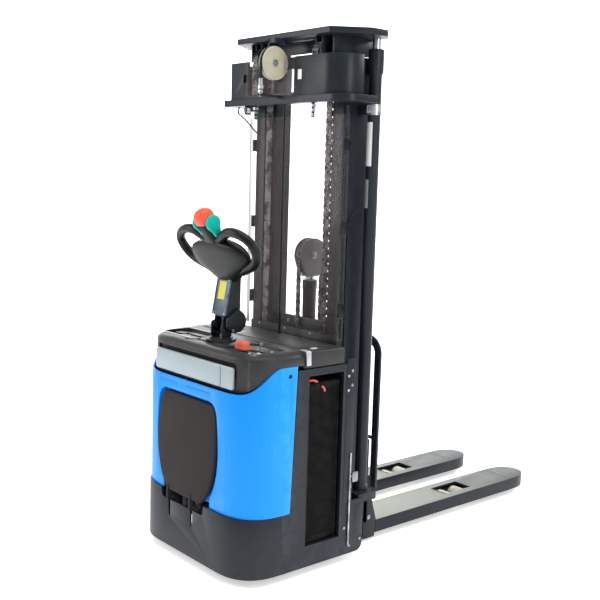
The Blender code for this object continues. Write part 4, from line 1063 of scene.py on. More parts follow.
def makeConnector():
    c = connector
    x, y, z = c["x"], c["y"], c["z"]
    wide, deep = c["half"]
    base = box("base", (x - wide, y - deep, z + 0.0005), (x + wide, y + deep, z + 0.014),
               0.002)
    crown = box("crown", (x - wide * 0.72, y - deep, z + 0.013),
                (x + wide * 0.72, y + deep * 0.8, z + c["high"]), 0.003, 3)
    ears = [box("ear", (x + s * wide * 0.86 - 0.004, y - deep * 0.8, z + 0.012),
                (x + s * wide * 0.86 + 0.004, y + deep * 0.5, z + c["high"] - 0.004), 0.0015)
            for s in (-1, 1)]
    settle(gather(base, crown, *ears), "emergency_connector", "connectorRed",
           ["emergency_connector"])
    barRow("connectorRibs", "emergency_connector", 5, (x - 0.012, y - deep - 0.0006, z + 0.020),
           (0.006, 0.0, 0.0), (0.0024, 0.0016, 0.014), "connectorRed")


def makeKey():
    x, y, z = 0.258, -0.652, 0.925
    barrel = lathe("barrel", [(0.0, z + 0.006), (0.0085, z + 0.006), (0.0110, z + 0.004),
                              (0.0110, z + 0.0004), (0.0, z + 0.0004)], (x, y, 0), "z", 32)
    bow = slab("bow", roundedRect((y - 0.0095, z + 0.008), (y + 0.0095, z + 0.028), 0.006),
               "x", x - 0.0014, x + 0.0014, 0.0006, 2)
    blade = box("blade", (x - 0.0011, y - 0.004, z + 0.004), (x + 0.0011, y + 0.004, z + 0.010))
    settle(gather(barrel, bow, blade), "key", "zincSteel", ["key_switch"])


makeConnector()
makeKey()
print("tiller and dashboard made")


# battery and its lid
def makeBattery():
    low, high = (-0.34, -0.507, 0.1206), (0.372, -0.3305, 0.79)
    case = box("batteryBox", low, high, 0.005, 3)
    settle(case, "battery", "batteryCase", ["battery"])
    edges = []
    for z in (low[2] + 0.004, high[2] - 0.030):
        edges.append(box("band", (high[0] - 0.001, low[1] + 0.004, z),
                         (high[0] + 0.0022, high[1] - 0.004, z + 0.026), 0.001))
    for y in (low[1] + 0.004, high[1] - 0.014):
        edges.append(box("post", (high[0] - 0.001, y, low[2] + 0.03),
                         (high[0] + 0.0022, y + 0.010, high[2] - 0.03), 0.001))
    settle(gather(*edges), "battery", "batteryCase")
    boots = []
    for points in (((0.357, -0.497, 0.792), (0.366, -0.476, 0.799), (0.3715, -0.455, 0.7925)),
                   ((0.360, -0.442, 0.780), (0.3745, -0.425, 0.7655), (0.377, -0.418, 0.750))):
        boots.append(tube("boot", smoothPath(points, 6), 0.0048, 4))
    settle(gather(*boots), "battery", "connectorRed")


def makeLid():
    lid = box("batteryLid", (-0.39, -0.5425, 0.853), (0.39, -0.322, 0.923), 0.011, 4)
    carve(lid, box("lidRoom", (-0.37, -0.5385, 0.80), (0.37, -0.326, 0.915)))
    raised = slab("lidField", roundedRect((-0.355, -0.515), (0.330, -0.352), 0.02), "z",
                  0.921, 0.9262, 0.002, 3)
    settle(gather(lid, raised), "battery_lid", "darkMoulding", ["battery_lid"])
    strap = [(0.3895, 0.9225), (0.3915, 0.9195), (0.3955, 0.872), (0.3990, 0.868),
             (0.4000, 0.870), (0.3975, 0.9215), (0.3930, 0.9262), (0.355, 0.9270),
             (0.355, 0.9250), (0.3860, 0.9246)]
    settle(slab("lidStrap", strap, "y", -0.537, -0.514, 0.0006, 2), "battery_lid",
           "silverTrimAndPaintedSheen")
    sticker = slab("lidSticker", roundedRect((0.336, -0.470), (0.352, -0.440), 0.002), "z",
                   0.9228, 0.9240)
    settle(sticker, "battery_lid", "plainSticker")


makeBattery()
makeLid()


# chassis trim on the sides
latch = {"x": 0.3955, "y": -0.277}


def makeChassisTrim():
    inner = [(-0.513, 0.1202), (-0.328, 0.1202), (-0.328, 0.823), (-0.513, 0.823)]
    outer = [(-0.519, 0.1140), (-0.322, 0.1140), (-0.322, 0.829), (-0.519, 0.829)]
    lip = slab("doorwayLip", ring(outer, inner), "x", 0.3905, 0.3920)
    settle(lip, "frame", "anthracitePaint")
    for side, sign in sides:
        posts = [slab("mastPost", [(-0.262, 0.264), (-0.262, 0.872), (-0.310, 0.872),
                                   (-0.310, 0.264)],
                      "x", sign * 0.3805, sign * 0.3925, 0.0015)]
        if side == "right":
            posts.append(box("lowBox", (0.3000, -0.243, 0.100), (0.3920, -0.1915, 0.2390),
                             0.002))
        settle(gather(*posts), "frame", "anthracitePaint")
    places = [((0.3925, y, z), (1, 0, 0)) for y, z in
              ((-0.300, 0.800), (-0.300, 0.740), (-0.280, 0.820), (-0.280, 0.760),
               (-0.300, 0.150), (-0.275, 0.105))]
    places += [((0.3915, -0.205, 0.084), (1, 0, 0))]
    places += [((-x, y, z), (-1, 0, 0)) for (x, y, z), _ in places[:6]]
    bolts("frameBolts", places, "frame", head=0.0040, height=0.0028, washer=0.0060)
    x, y = latch["x"], latch["y"]
    rodLine = [(x, y, 0.075), (x, y, 0.472)]
    rod = tube("latchRod", rodLine, 0.0040, 5)
    hook = tube("latchHook", smoothPath([(x, y, 0.080), (0.3965, y, 0.070),
                                         (0.3985, -0.2735, 0.068), (0.3985, -0.268, 0.072)],
                                        6), 0.0036, 4)
    grip = tube("latchGrip", [(x, y, 0.370), (x, -0.2620, 0.3720)], 0.0045, 4)
    settle(gather(rod, hook, grip), "latch", "zincSteel", ["latch_rod"])
    bracket = [slab("latchBracket", roundedRect((-0.268, 0.345), (-0.236, 0.388), 0.006),
                    "x", 0.3985, 0.4012, 0.0006, 2),
               tube("latchSpring", smoothPath(
                   [(x + 0.0062 * math.cos(t * 1.05), y + 0.0062 * math.sin(t * 1.05),
                     0.305 + t * 0.0013) for t in range(40)], 2), 0.0011, 2)]
    settle(gather(*bracket), "frame", "zincSteel")


makeChassisTrim()
print("battery, lid and chassis trim made")


# mast
mast = {"outerTop": 1.934, "high": 2.195, "sheave": (0.197, -0.319, 2.105),
        "hose": (0.0, -0.420, 2.068), "hoseRun": 0.066,
        "hoseThick": 0.0058, "chainY": -0.2765, "chainX": 0.1975, "chainWide": 0.032}
freeLift = {"y": -0.185, "high": 1.262, "chain": 0.0658, "chainWide": 0.021, "cheek": 0.0752}
sideCylinder = {"x": 0.330, "y": -0.150}


def makeRails():
    def channel(xWeb, xEdge, rear, front, wall):
        inner = xWeb + math.copysign(wall, xEdge - xWeb)
        return [(xWeb, rear), (xEdge, rear), (xEdge, rear + wall), (inner, rear + wall),
                (inner, front - wall), (xEdge, front - wall), (xEdge, front), (xWeb, front)]
    for side, sign in sides:
        outline = [(sign * x, y) for x, y in channel(0.285, 0.225, -0.280, -0.130, 0.011)]
        rail = slab("outerRail" + side.capitalize(), outline, "z", 0.1188, 2.088, 0.002, 3)
        settle(rail, "frame", "anthracitePaint", ["outer_rail_" + side])
    parts = []
    for side, sign in sides:
        outline = [(sign * x, y) for x, y in channel(0.250, 0.214, -0.262, -0.148, 0.010)]
        parts.append(slab("rail", outline, "z", 0.122, 2.172, 0.002, 3))
    settle(gather(*parts), "middle_stage", "anthracitePaint")
    parts = []
    for side, sign in sides:
        outline = [(sign * x, y) for x, y in channel(0.184, 0.206, -0.246, -0.164, 0.009)]
        parts.append(slab("rail", outline, "z", 0.122, 2.120, 0.0015, 3))
    parts.append(box("highTie", (-0.186, -0.240, 2.070), (0.186, -0.205, 2.118), 0.002))
    parts.append(box("lowTie", (-0.186, -0.240, 0.124), (0.186, -0.168, 0.160), 0.002))
    parts.append(box("midTie", (-0.186, -0.2385, 0.900), (0.186, -0.2200, 0.990), 0.003))
    settle(gather(*parts), "inner_stage", "anthracitePaint", ["inner_mast"])
    bolts("tieBolts", [((x, -0.2385, z), (0, -1, 0)) for x, z in
                       ((-0.075, 0.965), (0.0, 0.945), (-0.12, 0.925), (0.12, 0.925))],
          "inner_stage", head=0.006, height=0.005, washer=0.010)


def makeCrosshead():
    half, chamfer, rear = 0.401, 0.302, -0.385
    plan = [(half, -0.16), (half, -0.248), (chamfer, rear), (-chamfer, rear),
            (-half, -0.248), (-half, -0.16), (-0.35, -0.105), (-0.2095, -0.105),
            (-0.2095, -0.266), (0.2095, -0.266), (0.2095, -0.105), (0.35, -0.105)]
    plate = slab("crossheadPlate", plan, "z", mast["high"] - 0.025, mast["high"], 0.002, 3)
    hx, hy, hz = mast["hose"]
    sx, sy, sz = mast["sheave"]
    parts = [box("hanger", (-0.026, hy - 0.012, hz - 0.02), (-0.0165, hy + 0.040, 2.171),
                 0.002),
             box("hangerReach", (-0.026, hy - 0.012, 2.148), (0.020, -0.370, 2.171), 0.002)]
    for side, sign in sides:
        for x in (sx - 0.0220, sx + 0.0165):
            parts.append(slab("sheaveCheek", [(sy - 0.030, 2.171), (sy - 0.018, sz - 0.02),
                                              (sy + 0.018, sz - 0.02), (sy + 0.030, 2.171)],
                              "x", sign * x, sign * (x + 0.0055), 0.0015))
    parts.append(box("crossTie", (-0.205, -0.292, 2.118), (0.205, -0.268, 2.168), 0.003))
    parts += [box("wing", (s * 0.262, -0.330, 2.099),
                  (s * 0.270, -0.108, 2.171), 0.001) for s in (-1, 1)]
    settle(gather(plate, *parts), "middle_stage", "anthracitePaint", ["middle_mast"])


def makeMastHead():
    topZ = mast["outerTop"]
    half, rear, front, corner = 0.400, -0.388, -0.205, 0.085
    outer = [(half, front)] + arcPoints((half - corner, rear + corner), corner, 0, -90, 16)
    outer += [(-half + 0.012, rear), (-half, rear + 0.012), (-half, front)]
    inner = [(0.2870, front), (0.2870, -0.335)]
    inner = mirrored(inner)
    flange = slab("mastFlange", ring(outer, inner), "z", topZ - 0.029, topZ,
                  0.002, 3)
    half, rear, front, corner, wall = 0.365, -0.378, -0.250, 0.10, 0.010
    centre = (half - corner, rear + corner)
    band = [(half, front)] + arcPoints(centre, corner, 0, -90, 20)
    band += [(-half + 0.014, rear), (-half, rear + 0.014), (-half, front)]
    inside = [(half - wall, front)] + arcPoints(centre, corner - wall, 0, -90, 20)
    inside += [(-half + 0.018, rear + wall), (-half + wall, rear + 0.018),
               (-half + wall, front)]
    hoodBand = slab("headBand", ring(band, inside), "z", topZ - 0.004, 2.094)
    gap = slab("gap", [(-0.228, 1.950), (0.082, 1.950), (0.082, 2.2), (-0.228, 2.2)], "y",
               -0.42, -0.34)
    slot = slab("slot", roundedRect((-0.262, 2.005), (-0.236, 2.040), 0.005), "y", -0.42, -0.3)
    carve(hoodBand, gap, slot)
    rounded(hoodBand, 0.0015, 2, 40)
    studs = []
    for side, sign in sides:
        x, y = sign * 0.19, -0.362
        studs.append(cylinder("stud", 0.0075, 1.915, 1.846, (x, y, 0), "z", 20))
    wings = [box("wing", (s * 0.290, -0.300, topZ - 0.002),
                 (s * 0.298, -0.140, 2.092), 0.001) for s in (-1, 1)]
    settle(gather(flange, hoodBand, *studs, *wings), "frame", "anthracitePaint",
           ["mast_head"])
    nuts = []
    for side, sign in sides:
        x, y = sign * 0.19, -0.362
        for z, r in ((1.898, 0.0125), (1.880, 0.0105), (1.862, 0.0085)):
            nuts.append(cylinder("nut", r, z, z - 0.011, (x, y, 0), "z", 6))
    settle(gather(*nuts), "frame", "zincSteel")
    sticker = slab("bandSticker", roundedRect((0.108, 2.000), (0.132, 2.040), 0.002), "y",
                   -0.3788, -0.3775)
    settle(sticker, "frame", "plainSticker")


def makeHeadFittings():
    x, y, z = mast["hose"]
    run, thick = mast["hoseRun"], mast["hoseThick"]
    flank = [(0, 0.0125), (0.012, 0.0125), (0.055, 0.0105), (0.060, 0.013), (0.0665, 0.013),
             (0.0685, 0.011), (0.0640, 0.003), (0.0610, 0.0)]
    wheel = lathe("hoseWheel", bothWays(flank), (x, y, z), "x", 64)
    settle(wheel, "hose_wheel", "creamNylon", ["hose_wheel"], angle=25)
    bolts("hoseWheelBolt", [((0.0125, y, z), (1, 0, 0))], "middle_stage", head=0.010,
          height=0.007, washer=0.015)
    over = [(0.0, y + run * math.cos(a), z + run * math.sin(a))
            for a in (math.pi * i / 24 for i in range(25))]
    settle(tube("hoseOverWheel", over, thick, 4), "middle_stage", "gripMoulding", angle=60)
    rows = (("ferrule", 0.0085, 0.046, 0.020, 20), ("fittingNut", 0.0115, 0.018, 0.004, 6),
            ("fittingNut", 0.0100, 0.000, -0.012, 6), ("fittingTail", 0.0055, -0.012, -0.028, 20))
    fitting = [cylinder(name, radius, high, low, (0, y - run, 1.955), "z", steps)
               for name, radius, high, low, steps in rows]
    settle(gather(*fitting), "frame", "zincSteel")
    strap = slab("fittingStrap", [(-0.020, 1.930), (0.012, 1.930), (0.012, 1.938),
                                  (-0.020, 1.938)], "y", y - 0.072, -0.384, 0.0015)
    settle(strap, "frame", "anthracitePaint")
    drop = tube("hoseRear", [(0.0, y - run, zz) for zz in
                             [2.000 + i * 0.0068 for i in range(11)]], thick, 4)
    settle(drop, "frame", "gripMoulding", angle=60, ride=False)
    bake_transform(drop)
    front = tube("hoseFront", [(0.0, y + run, 2.068 - i * 0.028) for i in range(66)],
                 thick, 4)
    settle(front, "inner_stage", "gripMoulding", angle=60)
    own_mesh(front)
    foot = tube("hoseFoot", smoothPath([(0.0, y + run, 0.252), (0.0, y + 0.070, 0.215),
                                        (0.0, -0.320, 0.185), (0.0, -0.270, 0.165),
                                        (0.0, -0.238, 0.150)], 6), thick, 4)
    settle(foot, "inner_stage", "gripMoulding", angle=60)


def makeChains():
    sx, sy, sz = mast["sheave"]
    radius, wide, f = abs(sy - mast["chainY"]), mast["chainWide"], freeLift
    for side, sign in sides:
        x = sign * mast["chainX"]
        name = side.capitalize()
        front = chainStrand("mastChain" + name, [(x, mast["chainY"], 0.212),
                                                 (x, mast["chainY"], sz)], wide)
        settle(front, "inner_stage", "chainSteel", ["mast_chain_" + side], angle=25)
        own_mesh(front)
        arc = [(x, sy + radius * math.cos(a), sz + radius * math.sin(a))
               for a in (math.pi * i / 16 for i in range(17))]
        wrapOver = chainStrand("sheaveChain" + name, arc, wide)
        settle(wrapOver, "middle_stage", "chainSteel", angle=25)
        rear = chainStrand("anchorChain" + name,
                           [(x, sy - radius, sz), (x, sy - radius, 1.915)], wide)
        settle(rear, "frame", "chainSteel", angle=25, ride=False)
        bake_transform(rear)
    for name, y, low, body in (("Rear", -0.2508, 0.164, "inner_stage"),
                               ("Front", -0.1192, 0.4415, "carriage")):
        strand = chainStrand("freeChain" + name, [(0, y, low), (0, y, f["high"])], f["chainWide"])
        if name == "Front":
            settle(strand, body, "chainSteel", ["free_chain_front"], angle=25)
            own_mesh(strand)
        else:
            settle(strand, body, "chainSteel", ["free_chain_rear"], angle=25, ride=False)
            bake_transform(strand)
    over = [(0, f["y"] + f["chain"] * math.cos(a), f["high"] + f["chain"] * math.sin(a))
            for a in (math.pi * i / 22 for i in range(23))]
    settle(chainStrand("pulleyChain", over, f["chainWide"]), "free_piston", "chainSteel", angle=25)


def makeFreeLift():
    y, high = freeLift["y"], freeLift["high"]
    cheeks = []
    for side, sign in sides:
        outline = arcPoints((y, high), freeLift["cheek"], -8, 188, 40) + [(y - 0.050, 1.180),
                                                             (y + 0.050, 1.180)]
        cheeks.append(slab("cheek", outline, "x", sign * 0.0165, sign * 0.0250,
                           0.002, 3))
    bridge = box("bridge", (-0.024, y - 0.032, 1.168), (0.024, y + 0.032, 1.188), 0.003)
    settle(gather(*cheeks, bridge), "free_piston", "rawCasting")
    bolts("pulleyBolts", [((0.025, y, high), (1, 0, 0)), ((-0.025, y, high), (-1, 0, 0))],
          "free_piston", head=0.011, height=0.008, washer=0.016)
    rod = cylinder("freeRod", 0.0195, 1.170, 0.20, (0, y, 0), "z", 40)
    settle(rod, "free_piston", "polishedRod", ["free_lift_rod"])
    barrel = lathe("freeCylinder", [(0.0205, 1.152), (0.029, 1.152), (0.0325, 1.149),
                                    (0.0325, 1.112), (0.030, 1.108), (0.030, 0.1605),
                                    (0, 0.1605), (0, 0.182), (0.0205, 0.182)], (0, y, 0),
                   "z", 48, closed=True)
    settle(barrel, "inner_stage", "anthracitePaint", ["free_lift_cylinder"])
    band = lathe("freeBand", [(0.0206, 1.1545), (0.0300, 1.1545), (0.0300, 1.1518),
                              (0.0206, 1.1518)], (0, y, 0), "z", 48, closed=True)
    settle(band, "inner_stage", "zincSteel")


def makeCylinders():
    for side, sign in sides:
        x, y = sign * sideCylinder["x"], sideCylinder["y"]
        profile = [(0.0185, 2.125), (0.030, 2.125), (0.0322, 2.122), (0.0322, 2.034),
                   (0.0265, 2.022), (0.0265, 0.300), (0.0300, 0.296), (0.0300, 0.2755),
                   (0.0, 0.2755), (0.0, 0.295), (0.0185, 0.295)]
        barrel = lathe("sideCylinder" + side.capitalize(), profile, (x, y, 0), "z", 64,
                       closed=True)
        settle(barrel, "frame", "anthracitePaint", ["lift_cylinder_" + side], angle=28)
        clamp = [lathe("clampRing", [(0.0268, 1.905), (0.0300, 1.905), (0.0300, 1.862),
                                     (0.0268, 1.862)], (x, y, 0), "z", 48, closed=True),
                 slab("clampEar", roundedRect((-0.205, 1.868), (-0.176, 1.900), 0.004), "x",
                      sign * 0.338, sign * 0.344, 0.001)]
        settle(gather(*clamp), "frame", "zincSteel")
        bolts("clampBolt" + side.capitalize(),
              [((sign * 0.344, -0.193, z), (sign, 0, 0)) for z in (1.877, 1.892)], "frame",
              head=0.004, height=0.004, washer=0.006)
        block = box("clampBlock", (sign * 0.2855, -0.200, 1.860),
                    (sign * 0.340, -0.180, 1.905), 0.002)
        settle(block, "frame", "anthracitePaint")
    wrapSticker("cylinderSticker", 1.655, 1.833, -150, -55, "plainSticker")
    wrapSticker("cylinderPlate", 1.483, 1.600, -160, -75, "silverTrimAndPaintedSheen")
    cable = smoothPath([(0.306, -0.180, 1.470), (0.302, -0.200, 1.468), (0.296, -0.222, 1.452),
                        (0.291, -0.236, 1.415), (0.289, -0.240, 1.350), (0.289, -0.240, 0.95),
                        (0.289, -0.238, 0.30)], 8)
    settle(tube("railCable", cable, 0.0028, 3), "frame", "gripMoulding", angle=60)


def wrapSticker(name, low, high, start, end, surface):
    centre = (sideCylinder["x"], sideCylinder["y"])
    inner = arcPoints(centre, 0.0266, start, end, 14)
    outer = arcPoints(centre, 0.0270, start, end, 14)
    settle(slab(name, ring(outer, inner), "z", low, high), "frame", surface)


def makeScreen():
    front, side, corner = -0.301, 0.300, 0.008
    outer = [(side, -0.256)] + arcPoints((side - corner, front + corner), corner, 0, -90, 6)
    outer = mirrored(outer)
    inner = [(side - 0.003, -0.256)]
    inner += arcPoints((side - corner, front + corner), corner - 0.003, 0, -90, 6)
    inner = mirrored(inner)
    apron = box("screenApron", (-0.284, -0.2895, 0.640), (0.284, -0.2850, 0.948), 0.001)
    settle(apron, "frame", "anthracitePaint")
    bolts("apronBolts", [((x, -0.2895, 0.938), (0, -1, 0)) for x in (-0.22, -0.04, 0.13)],
          "frame", head=0.004, height=0.003, washer=0.006)
    sheet = slab("mastScreen", ring(outer, inner), "z", 0.93, 1.858)
    settle(sheet, "frame", "clearSheet", ["mast_screen"])
    pane = slab("headWindow", roundedRect((-0.2355, 1.922), (0.0895, 2.106), 0.014, 8), "y",
                -0.384, -0.381)
    carve(pane, slab("slot", roundedRect((-0.022, 1.992), (0.022, 2.3), 0.01), "y", -0.5,
                     -0.3))
    settle(pane, "frame", "clearSheet", ["head_window"])
    clips, tubes = [], []
    for _, sign in sides:
        for z0, z1 in ((1.712, 1.764), (1.371, 1.423), (1.028, 1.083)):
            clips.append(box("clip", (sign * 0.292, -0.290, z0), (sign * 0.306, -0.256, z1),
                             0.002))
            clips.append(box("clipFoot", (sign * 0.286, -0.262, z0 + 0.008),
                             (sign * 0.306, -0.250, z1 - 0.008), 0.001))
    settle(gather(*clips), "frame", "gripMoulding")
    for z0, z1 in ((0.94, 1.02), (1.09, 1.362), (1.43, 1.703), (1.772, 1.895)):
        tubes.append(cylinder("edgeBar", 0.0065, z1, z0, (0.303, -0.272, 0), "z", 20))
    settle(gather(*tubes), "frame", "anthracitePaint", angle=50)
    # painted sheen: a silver strip at the left front edge of the screen stands in for the pale
    # look of the clear side flange
    strip = box("leftFlangePaintedSheen", (-0.3045, -0.3030, 0.935), (-0.2820, -0.3018, 1.855), 0.0004)
    settle(strip, "frame", "silverTrimAndPaintedSheen")
    bracket = smoothPath([(-0.296, -0.372, 1.902), (-0.297, -0.376, 1.880),
                          (-0.296, -0.372, 1.872), (-0.275, -0.345, 1.842),
                          (-0.252, -0.318, 1.802), (-0.247, -0.308, 1.792)], 8)
    settle(tube("bentRod", bracket, 0.0036, 4), "frame", "anthracitePaint", angle=60)
    lugs = [box("lug", (-0.258, -0.372, 1.868), (-0.236, -0.350, 1.905), 0.002),
            box("lug", (-0.222, -0.372, 1.880), (-0.206, -0.352, 1.905), 0.002)]
    settle(gather(*lugs), "frame", "anthracitePaint")
    ends = [cylinder("hoseEnd", 0.009, z + 0.010, z - 0.010, (x, y, 0), "z", 12)
            for x, y, z in ((-0.245, -0.378, 1.890), (-0.214, -0.378, 1.884))]
    settle(gather(*ends), "frame", "zincSteel")


makeRails()
makeCrosshead()
makeMastHead()
makeHeadFittings()
makeChains()
makeFreeLift()
makeCylinders()
makeScreen()
print("mast made")


# forks, carriage and backrest
forkSize = {"length": 1.150, "width": 0.180, "spread": 0.570, "top": 0.088, "low": 0.029,
            "nose": 0.150, "wall": 0.007}


def forkPlan(middle, inset=0.0):
    f = forkSize
    half = f["width"] / 2 - inset
    base = f["length"] - f["nose"]
    plan = [(middle + half, 0.0), (middle + half, base)]
    for step in range(1, 32):
        angle = math.pi * step / 32
        plan.append((middle + half * math.cos(angle),
                     base + (f["nose"] - inset) * math.sin(angle) ** 0.8))
    return plan + [(middle - half, base), (middle - half, 0.0)]


def makeForks():
    f = forkSize
    for side, sign in sides:
        middle = sign * (f["spread"] - f["width"]) / 2
        half = f["width"] / 2
        blade = slab("blade", forkPlan(middle), "z", f["low"], f["top"])
        hollow = box("hollow", (middle - half + f["wall"], -0.1, 0.0),
                     (middle + half - f["wall"], f["length"] - 0.110, f["top"] - 0.008))
        tip = slab("tip", [(f["length"] - 0.075, 0.0), (f["length"] - 0.045, f["low"]),
                           (f["length"] + 0.004, 0.064), (f["length"] + 0.1, 0.064),
                           (f["length"] + 0.1, 0.0)], "x", -0.5, 0.5)
        window = box("window", (middle - 0.047, 0.528, 0.0), (middle + 0.047, 0.708, 0.2))
        carve(blade, hollow, tip, window)
        side0, side1 = middle - half, middle + half
        shank = slab("shank", [(-0.0585, 0.080), (0.002, 0.080), (0.002, 0.0875),
                               (-0.043, 0.235), (-0.0585, 0.235)], "x", side0 + 0.0005,
                     side1 - 0.0005)
        gusset = slab("gusset", [(-0.0865, 0.236), (-0.044, 0.236), (-0.002, 0.085),
                                 (-0.006, 0.012), (-0.0765, 0.012)], "x",
                      sign * (f["spread"] / 2 - 0.012), sign * f["spread"] / 2)
        fuse(blade, shank, gusset)
        rounded(blade, 0.0025, 3, 30)
        settle(blade, "carriage", "forkPaint", ["fork_" + side])
        lip = roundedRect((middle - 0.0500, 0.525), (middle + 0.0500, 0.711), 0.004)
        hole = roundedRect((middle - 0.0468, 0.5282), (middle + 0.0468, 0.7078), 0.002)
        settle(slab("windowLip", ring(lip, hole), "z", f["top"] - 0.0005,
                    f["top"] + 0.0012), "carriage", "anthracitePaint")
        weld = tube("noseWeld", [(middle + half * (-0.97 + 1.94 * i / 40), 0.990,
                                  f["top"] - 0.0008 + 0.0003 * (i % 2)) for i in range(41)],
                    0.0018, 3)
        settle(weld, "carriage", "armPlateGrey", angle=60)
    bolts("gussetBolts", [((0.285, -0.047, 0.110), (1, 0, 0)),
                          ((-0.285, -0.047, 0.110), (-1, 0, 0))], "carriage",
          head=0.007, height=0.005, washer=0.010)


roller = {"x": 0.195, "y": {"rear": 0.568, "front": 0.668}, "radius": 0.040,
          "tread": 0.0385, "face": 0.034, "hub": 0.014, "axle": 0.008, "reach": 0.062}


def makeRollers():
    r = roller
    tread = bothWays([(0, 0.0325), (r["hub"], 0.0325), (r["hub"], r["face"]),
                      (0.034, r["face"]), (r["tread"], 0.0335), (r["radius"], 0.031)])
    axle = bothWays([(0, r["reach"]), (r["axle"], r["reach"]), (r["axle"], 0.0345),
                     (0.012, 0.0345)])
    for side, sign in sides:
        for place, y in r["y"].items():
            centre = (sign * r["x"], y, r["radius"])
            wheel = lathe(f"loadRoller{side.capitalize()}{place.capitalize()}", tread, centre,
                          "x", 48)
            settle(wheel, f"roller_{side}_{place}", "creamNylon",
                   [f"load_roller_{side}_{place}"])
            hub = lathe("rollerHub", axle, centre, "x", 32)
            settle(hub, f"roller_{side}_{place}", "zincSteel")


backrest = {"half": 0.307, "low": 0.248, "top": 0.926, "wide": 0.035, "radius": 0.080}


def makeBackrest():
    # a flat bar bent to a hoop
    def line(inset):
        half, top, radius = (backrest[key] - inset for key in ("half", "top", "radius"))
        corner = arcPoints((half - radius, top - radius), radius, 0, 90, 16)
        return mirrored([(half, backrest["low"])] + corner)
    outer, inner = line(0.0), line(backrest["wide"])
    hoop = slab("backrestHoop", ring(outer, inner), "y", -0.036, -0.024, 0.0015, 2)
    parts = [box("crossbar", (-0.280, -0.034, 0.462), (0.280, -0.026, 0.476), 0.001)]
    parts += [box("foot", (s * 0.272, -0.0583, 0.260),
                  (s * 0.285, -0.030, 0.300), 0.001) for s in (-1, 1)]
    settle(gather(hoop, *parts), "carriage", "anthracitePaint", ["load_backrest"])


makeForks()
makeRollers()
makeBackrest()
print("forks, rollers and backrest made")


# wheels under the cover
driveWheel = {"y": -0.665, "radius": 0.115, "nuts": 0.045}
castor = {"x": 0.27, "y": -0.69, "radius": 0.055}


def makeWheels():
    y, high, nuts = driveWheel["y"], driveWheel["radius"], driveWheel["nuts"]
    tread = lathe("driveWheel", [(0, 0.034), (0.070, 0.034), (0.078, 0.036), (0.108, 0.036),
                                 (0.115, 0.030), (0.115, -0.030), (0.108, -0.036),
                                 (0.078, -0.036), (0.070, -0.030), (0.030, -0.030),
                                 (0.030, -0.0445), (0, -0.0445)], (0, y, high), "x", 64)
    settle(tread, "drive_wheel", "wheelRubber", ["drive_wheel"])
    turns = [2 * math.pi * i / 5 for i in range(5)]
    bolts("wheelNuts", [((0.034, y + nuts * math.cos(a), high + nuts * math.sin(a)), (1, 0, 0))
                        for a in turns], "drive_wheel", head=0.007, height=0.006, washer=0.009)
    tyre = bothWays([(0, 0.020), (0.032, 0.020), (0.036, 0.0225), (0.050, 0.0225),
                     (castor["radius"], 0.0175)])
    for side, sign in sides:
        wheel = lathe("castorWheel" + side.capitalize(), tyre,
                      (sign * castor["x"], castor["y"], castor["radius"]), "x", 48)
        settle(wheel, f"castor_{side}_wheel", "wheelRubber", ["castor_wheel_" + side])


makeWheels()
print("wheels made")


# floor, light and camera
studio = {"floor": 14.0, "wall": 8.0, "bend": 2.5, "distance": 5.0}


def makeStudio():
    s = studio
    profile = [(-s["floor"], 0.0)]
    profile += [(s["distance"] + s["bend"] * math.sin(math.radians(a)),
                 s["bend"] * (1 - math.cos(math.radians(a)))) for a in range(0, 91, 6)]
    profile += [(s["distance"] + s["bend"], s["wall"])]
    across = Matrix.Rotation(math.radians(49.287), 4, "Z")
    verts, faces = [], []
    for side in (-1, 1):
        verts += [across @ Vector((side * s["floor"], y, z - 0.0004)) for y, z in profile]
    count = len(profile)
    for i in range(count - 1):
        faces.append((i, count + i, count + i + 1, i + 1))
    floor = meshObject("studioFloor", verts, faces)
    made = bpy.data.materials.new("palePaper")
    made.use_nodes = True
    shader = made.node_tree.nodes["Principled BSDF"]
    coords = made.node_tree.nodes.new("ShaderNodeTexCoord").outputs["Object"]
    speck = noiseNode(made.node_tree, coords, 3.0, 3.0)
    tone = mixColour(made.node_tree, speck, (0.93, 0.93, 0.93, 1), (0.96, 0.96, 0.96, 1))
    made.node_tree.links.new(tone, shader.inputs["Base Color"])
    shader.inputs["Roughness"].default_value = 0.9
    shader.inputs["Specular IOR Level"].default_value = 0.1
    shader.inputs["Emission Color"].default_value = (1.0, 1.0, 1.0, 1.0)
    shader.inputs["Emission Strength"].default_value = 0.50
    floor.data.materials.append(made)
    floor.data.shade_smooth()


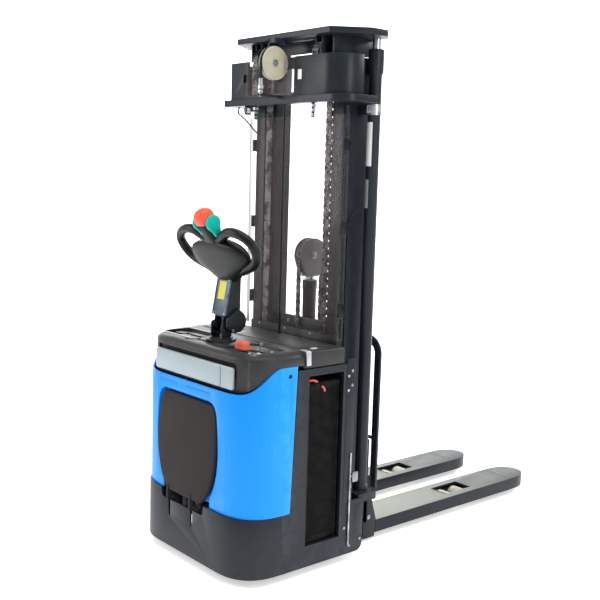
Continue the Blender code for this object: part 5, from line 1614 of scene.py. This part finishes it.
def areaLight(name, place, target, size, power):
    data = bpy.data.lights.new(name, "AREA")
    data.shape = "RECTANGLE"
    data.size, data.size_y = size
    data.energy = power
    lamp = placed(name, data)
    lamp.location = place
    lamp.rotation_euler = (Vector(target) - Vector(place)).to_track_quat("-Z", "Y").to_euler()


def makeLights():
    world = bpy.data.worlds.new("studioAir")
    bpy.context.scene.world = world
    world.use_nodes = True
    sky = world.node_tree.nodes["Background"]
    sky.inputs["Color"].default_value = (1.0, 1.0, 1.0, 1.0)
    sky.inputs["Strength"].default_value = 0.35
    areaLight("overhead", (0.5, -0.5, 5.0), (0.0, 0.0, 0.8), (4.0, 4.0), 135)
    areaLight("leftSoft", (-2.6, -3.6, 2.4), (0.0, -0.4, 0.8), (1.6, 2.6), 68)
    areaLight("rightStrip", (3.6, -0.6, 2.2), (0.0, 0.0, 0.9), (0.7, 2.6), 46)
    areaLight("backWash", (2.0, 6.0, 4.5), (-1.5, 5.0, 0.5), (5.0, 2.0), 260)
    areaLight("backWashLow", (-5.5, 1.5, 4.5), (-5.5, 5.0, 0.5), (5.0, 2.0), 260)


cameraView = {"place": (3.120, -3.08135, 1.609), "azimuth": 49.287, "elevation": 7.541,
              "roll": 1.621, "lens": 56.402}


def makeCamera():
    c = cameraView
    a, e, r = (math.radians(c[key]) for key in ("azimuth", "elevation", "roll"))
    ahead = Vector((-math.sin(a) * math.cos(e), math.cos(a) * math.cos(e), -math.sin(e)))
    right = Vector((math.cos(a), math.sin(a), 0.0))
    above = right.cross(ahead)
    across = math.cos(r) * right + math.sin(r) * above
    upward = -math.sin(r) * right + math.cos(r) * above
    data = bpy.data.cameras.new("view")
    data.lens = c["lens"]
    data.sensor_width = 36.0
    camera = placed("view", data)
    turn = Matrix((across, upward, -ahead)).transposed().to_4x4()
    camera.matrix_world = Matrix.Translation(c["place"]) @ turn
    bpy.context.scene.camera = camera


makeStudio()
makeLights()
makeCamera()
bpy.context.scene.view_settings.view_transform = "Standard"
print("floor, light and camera made")
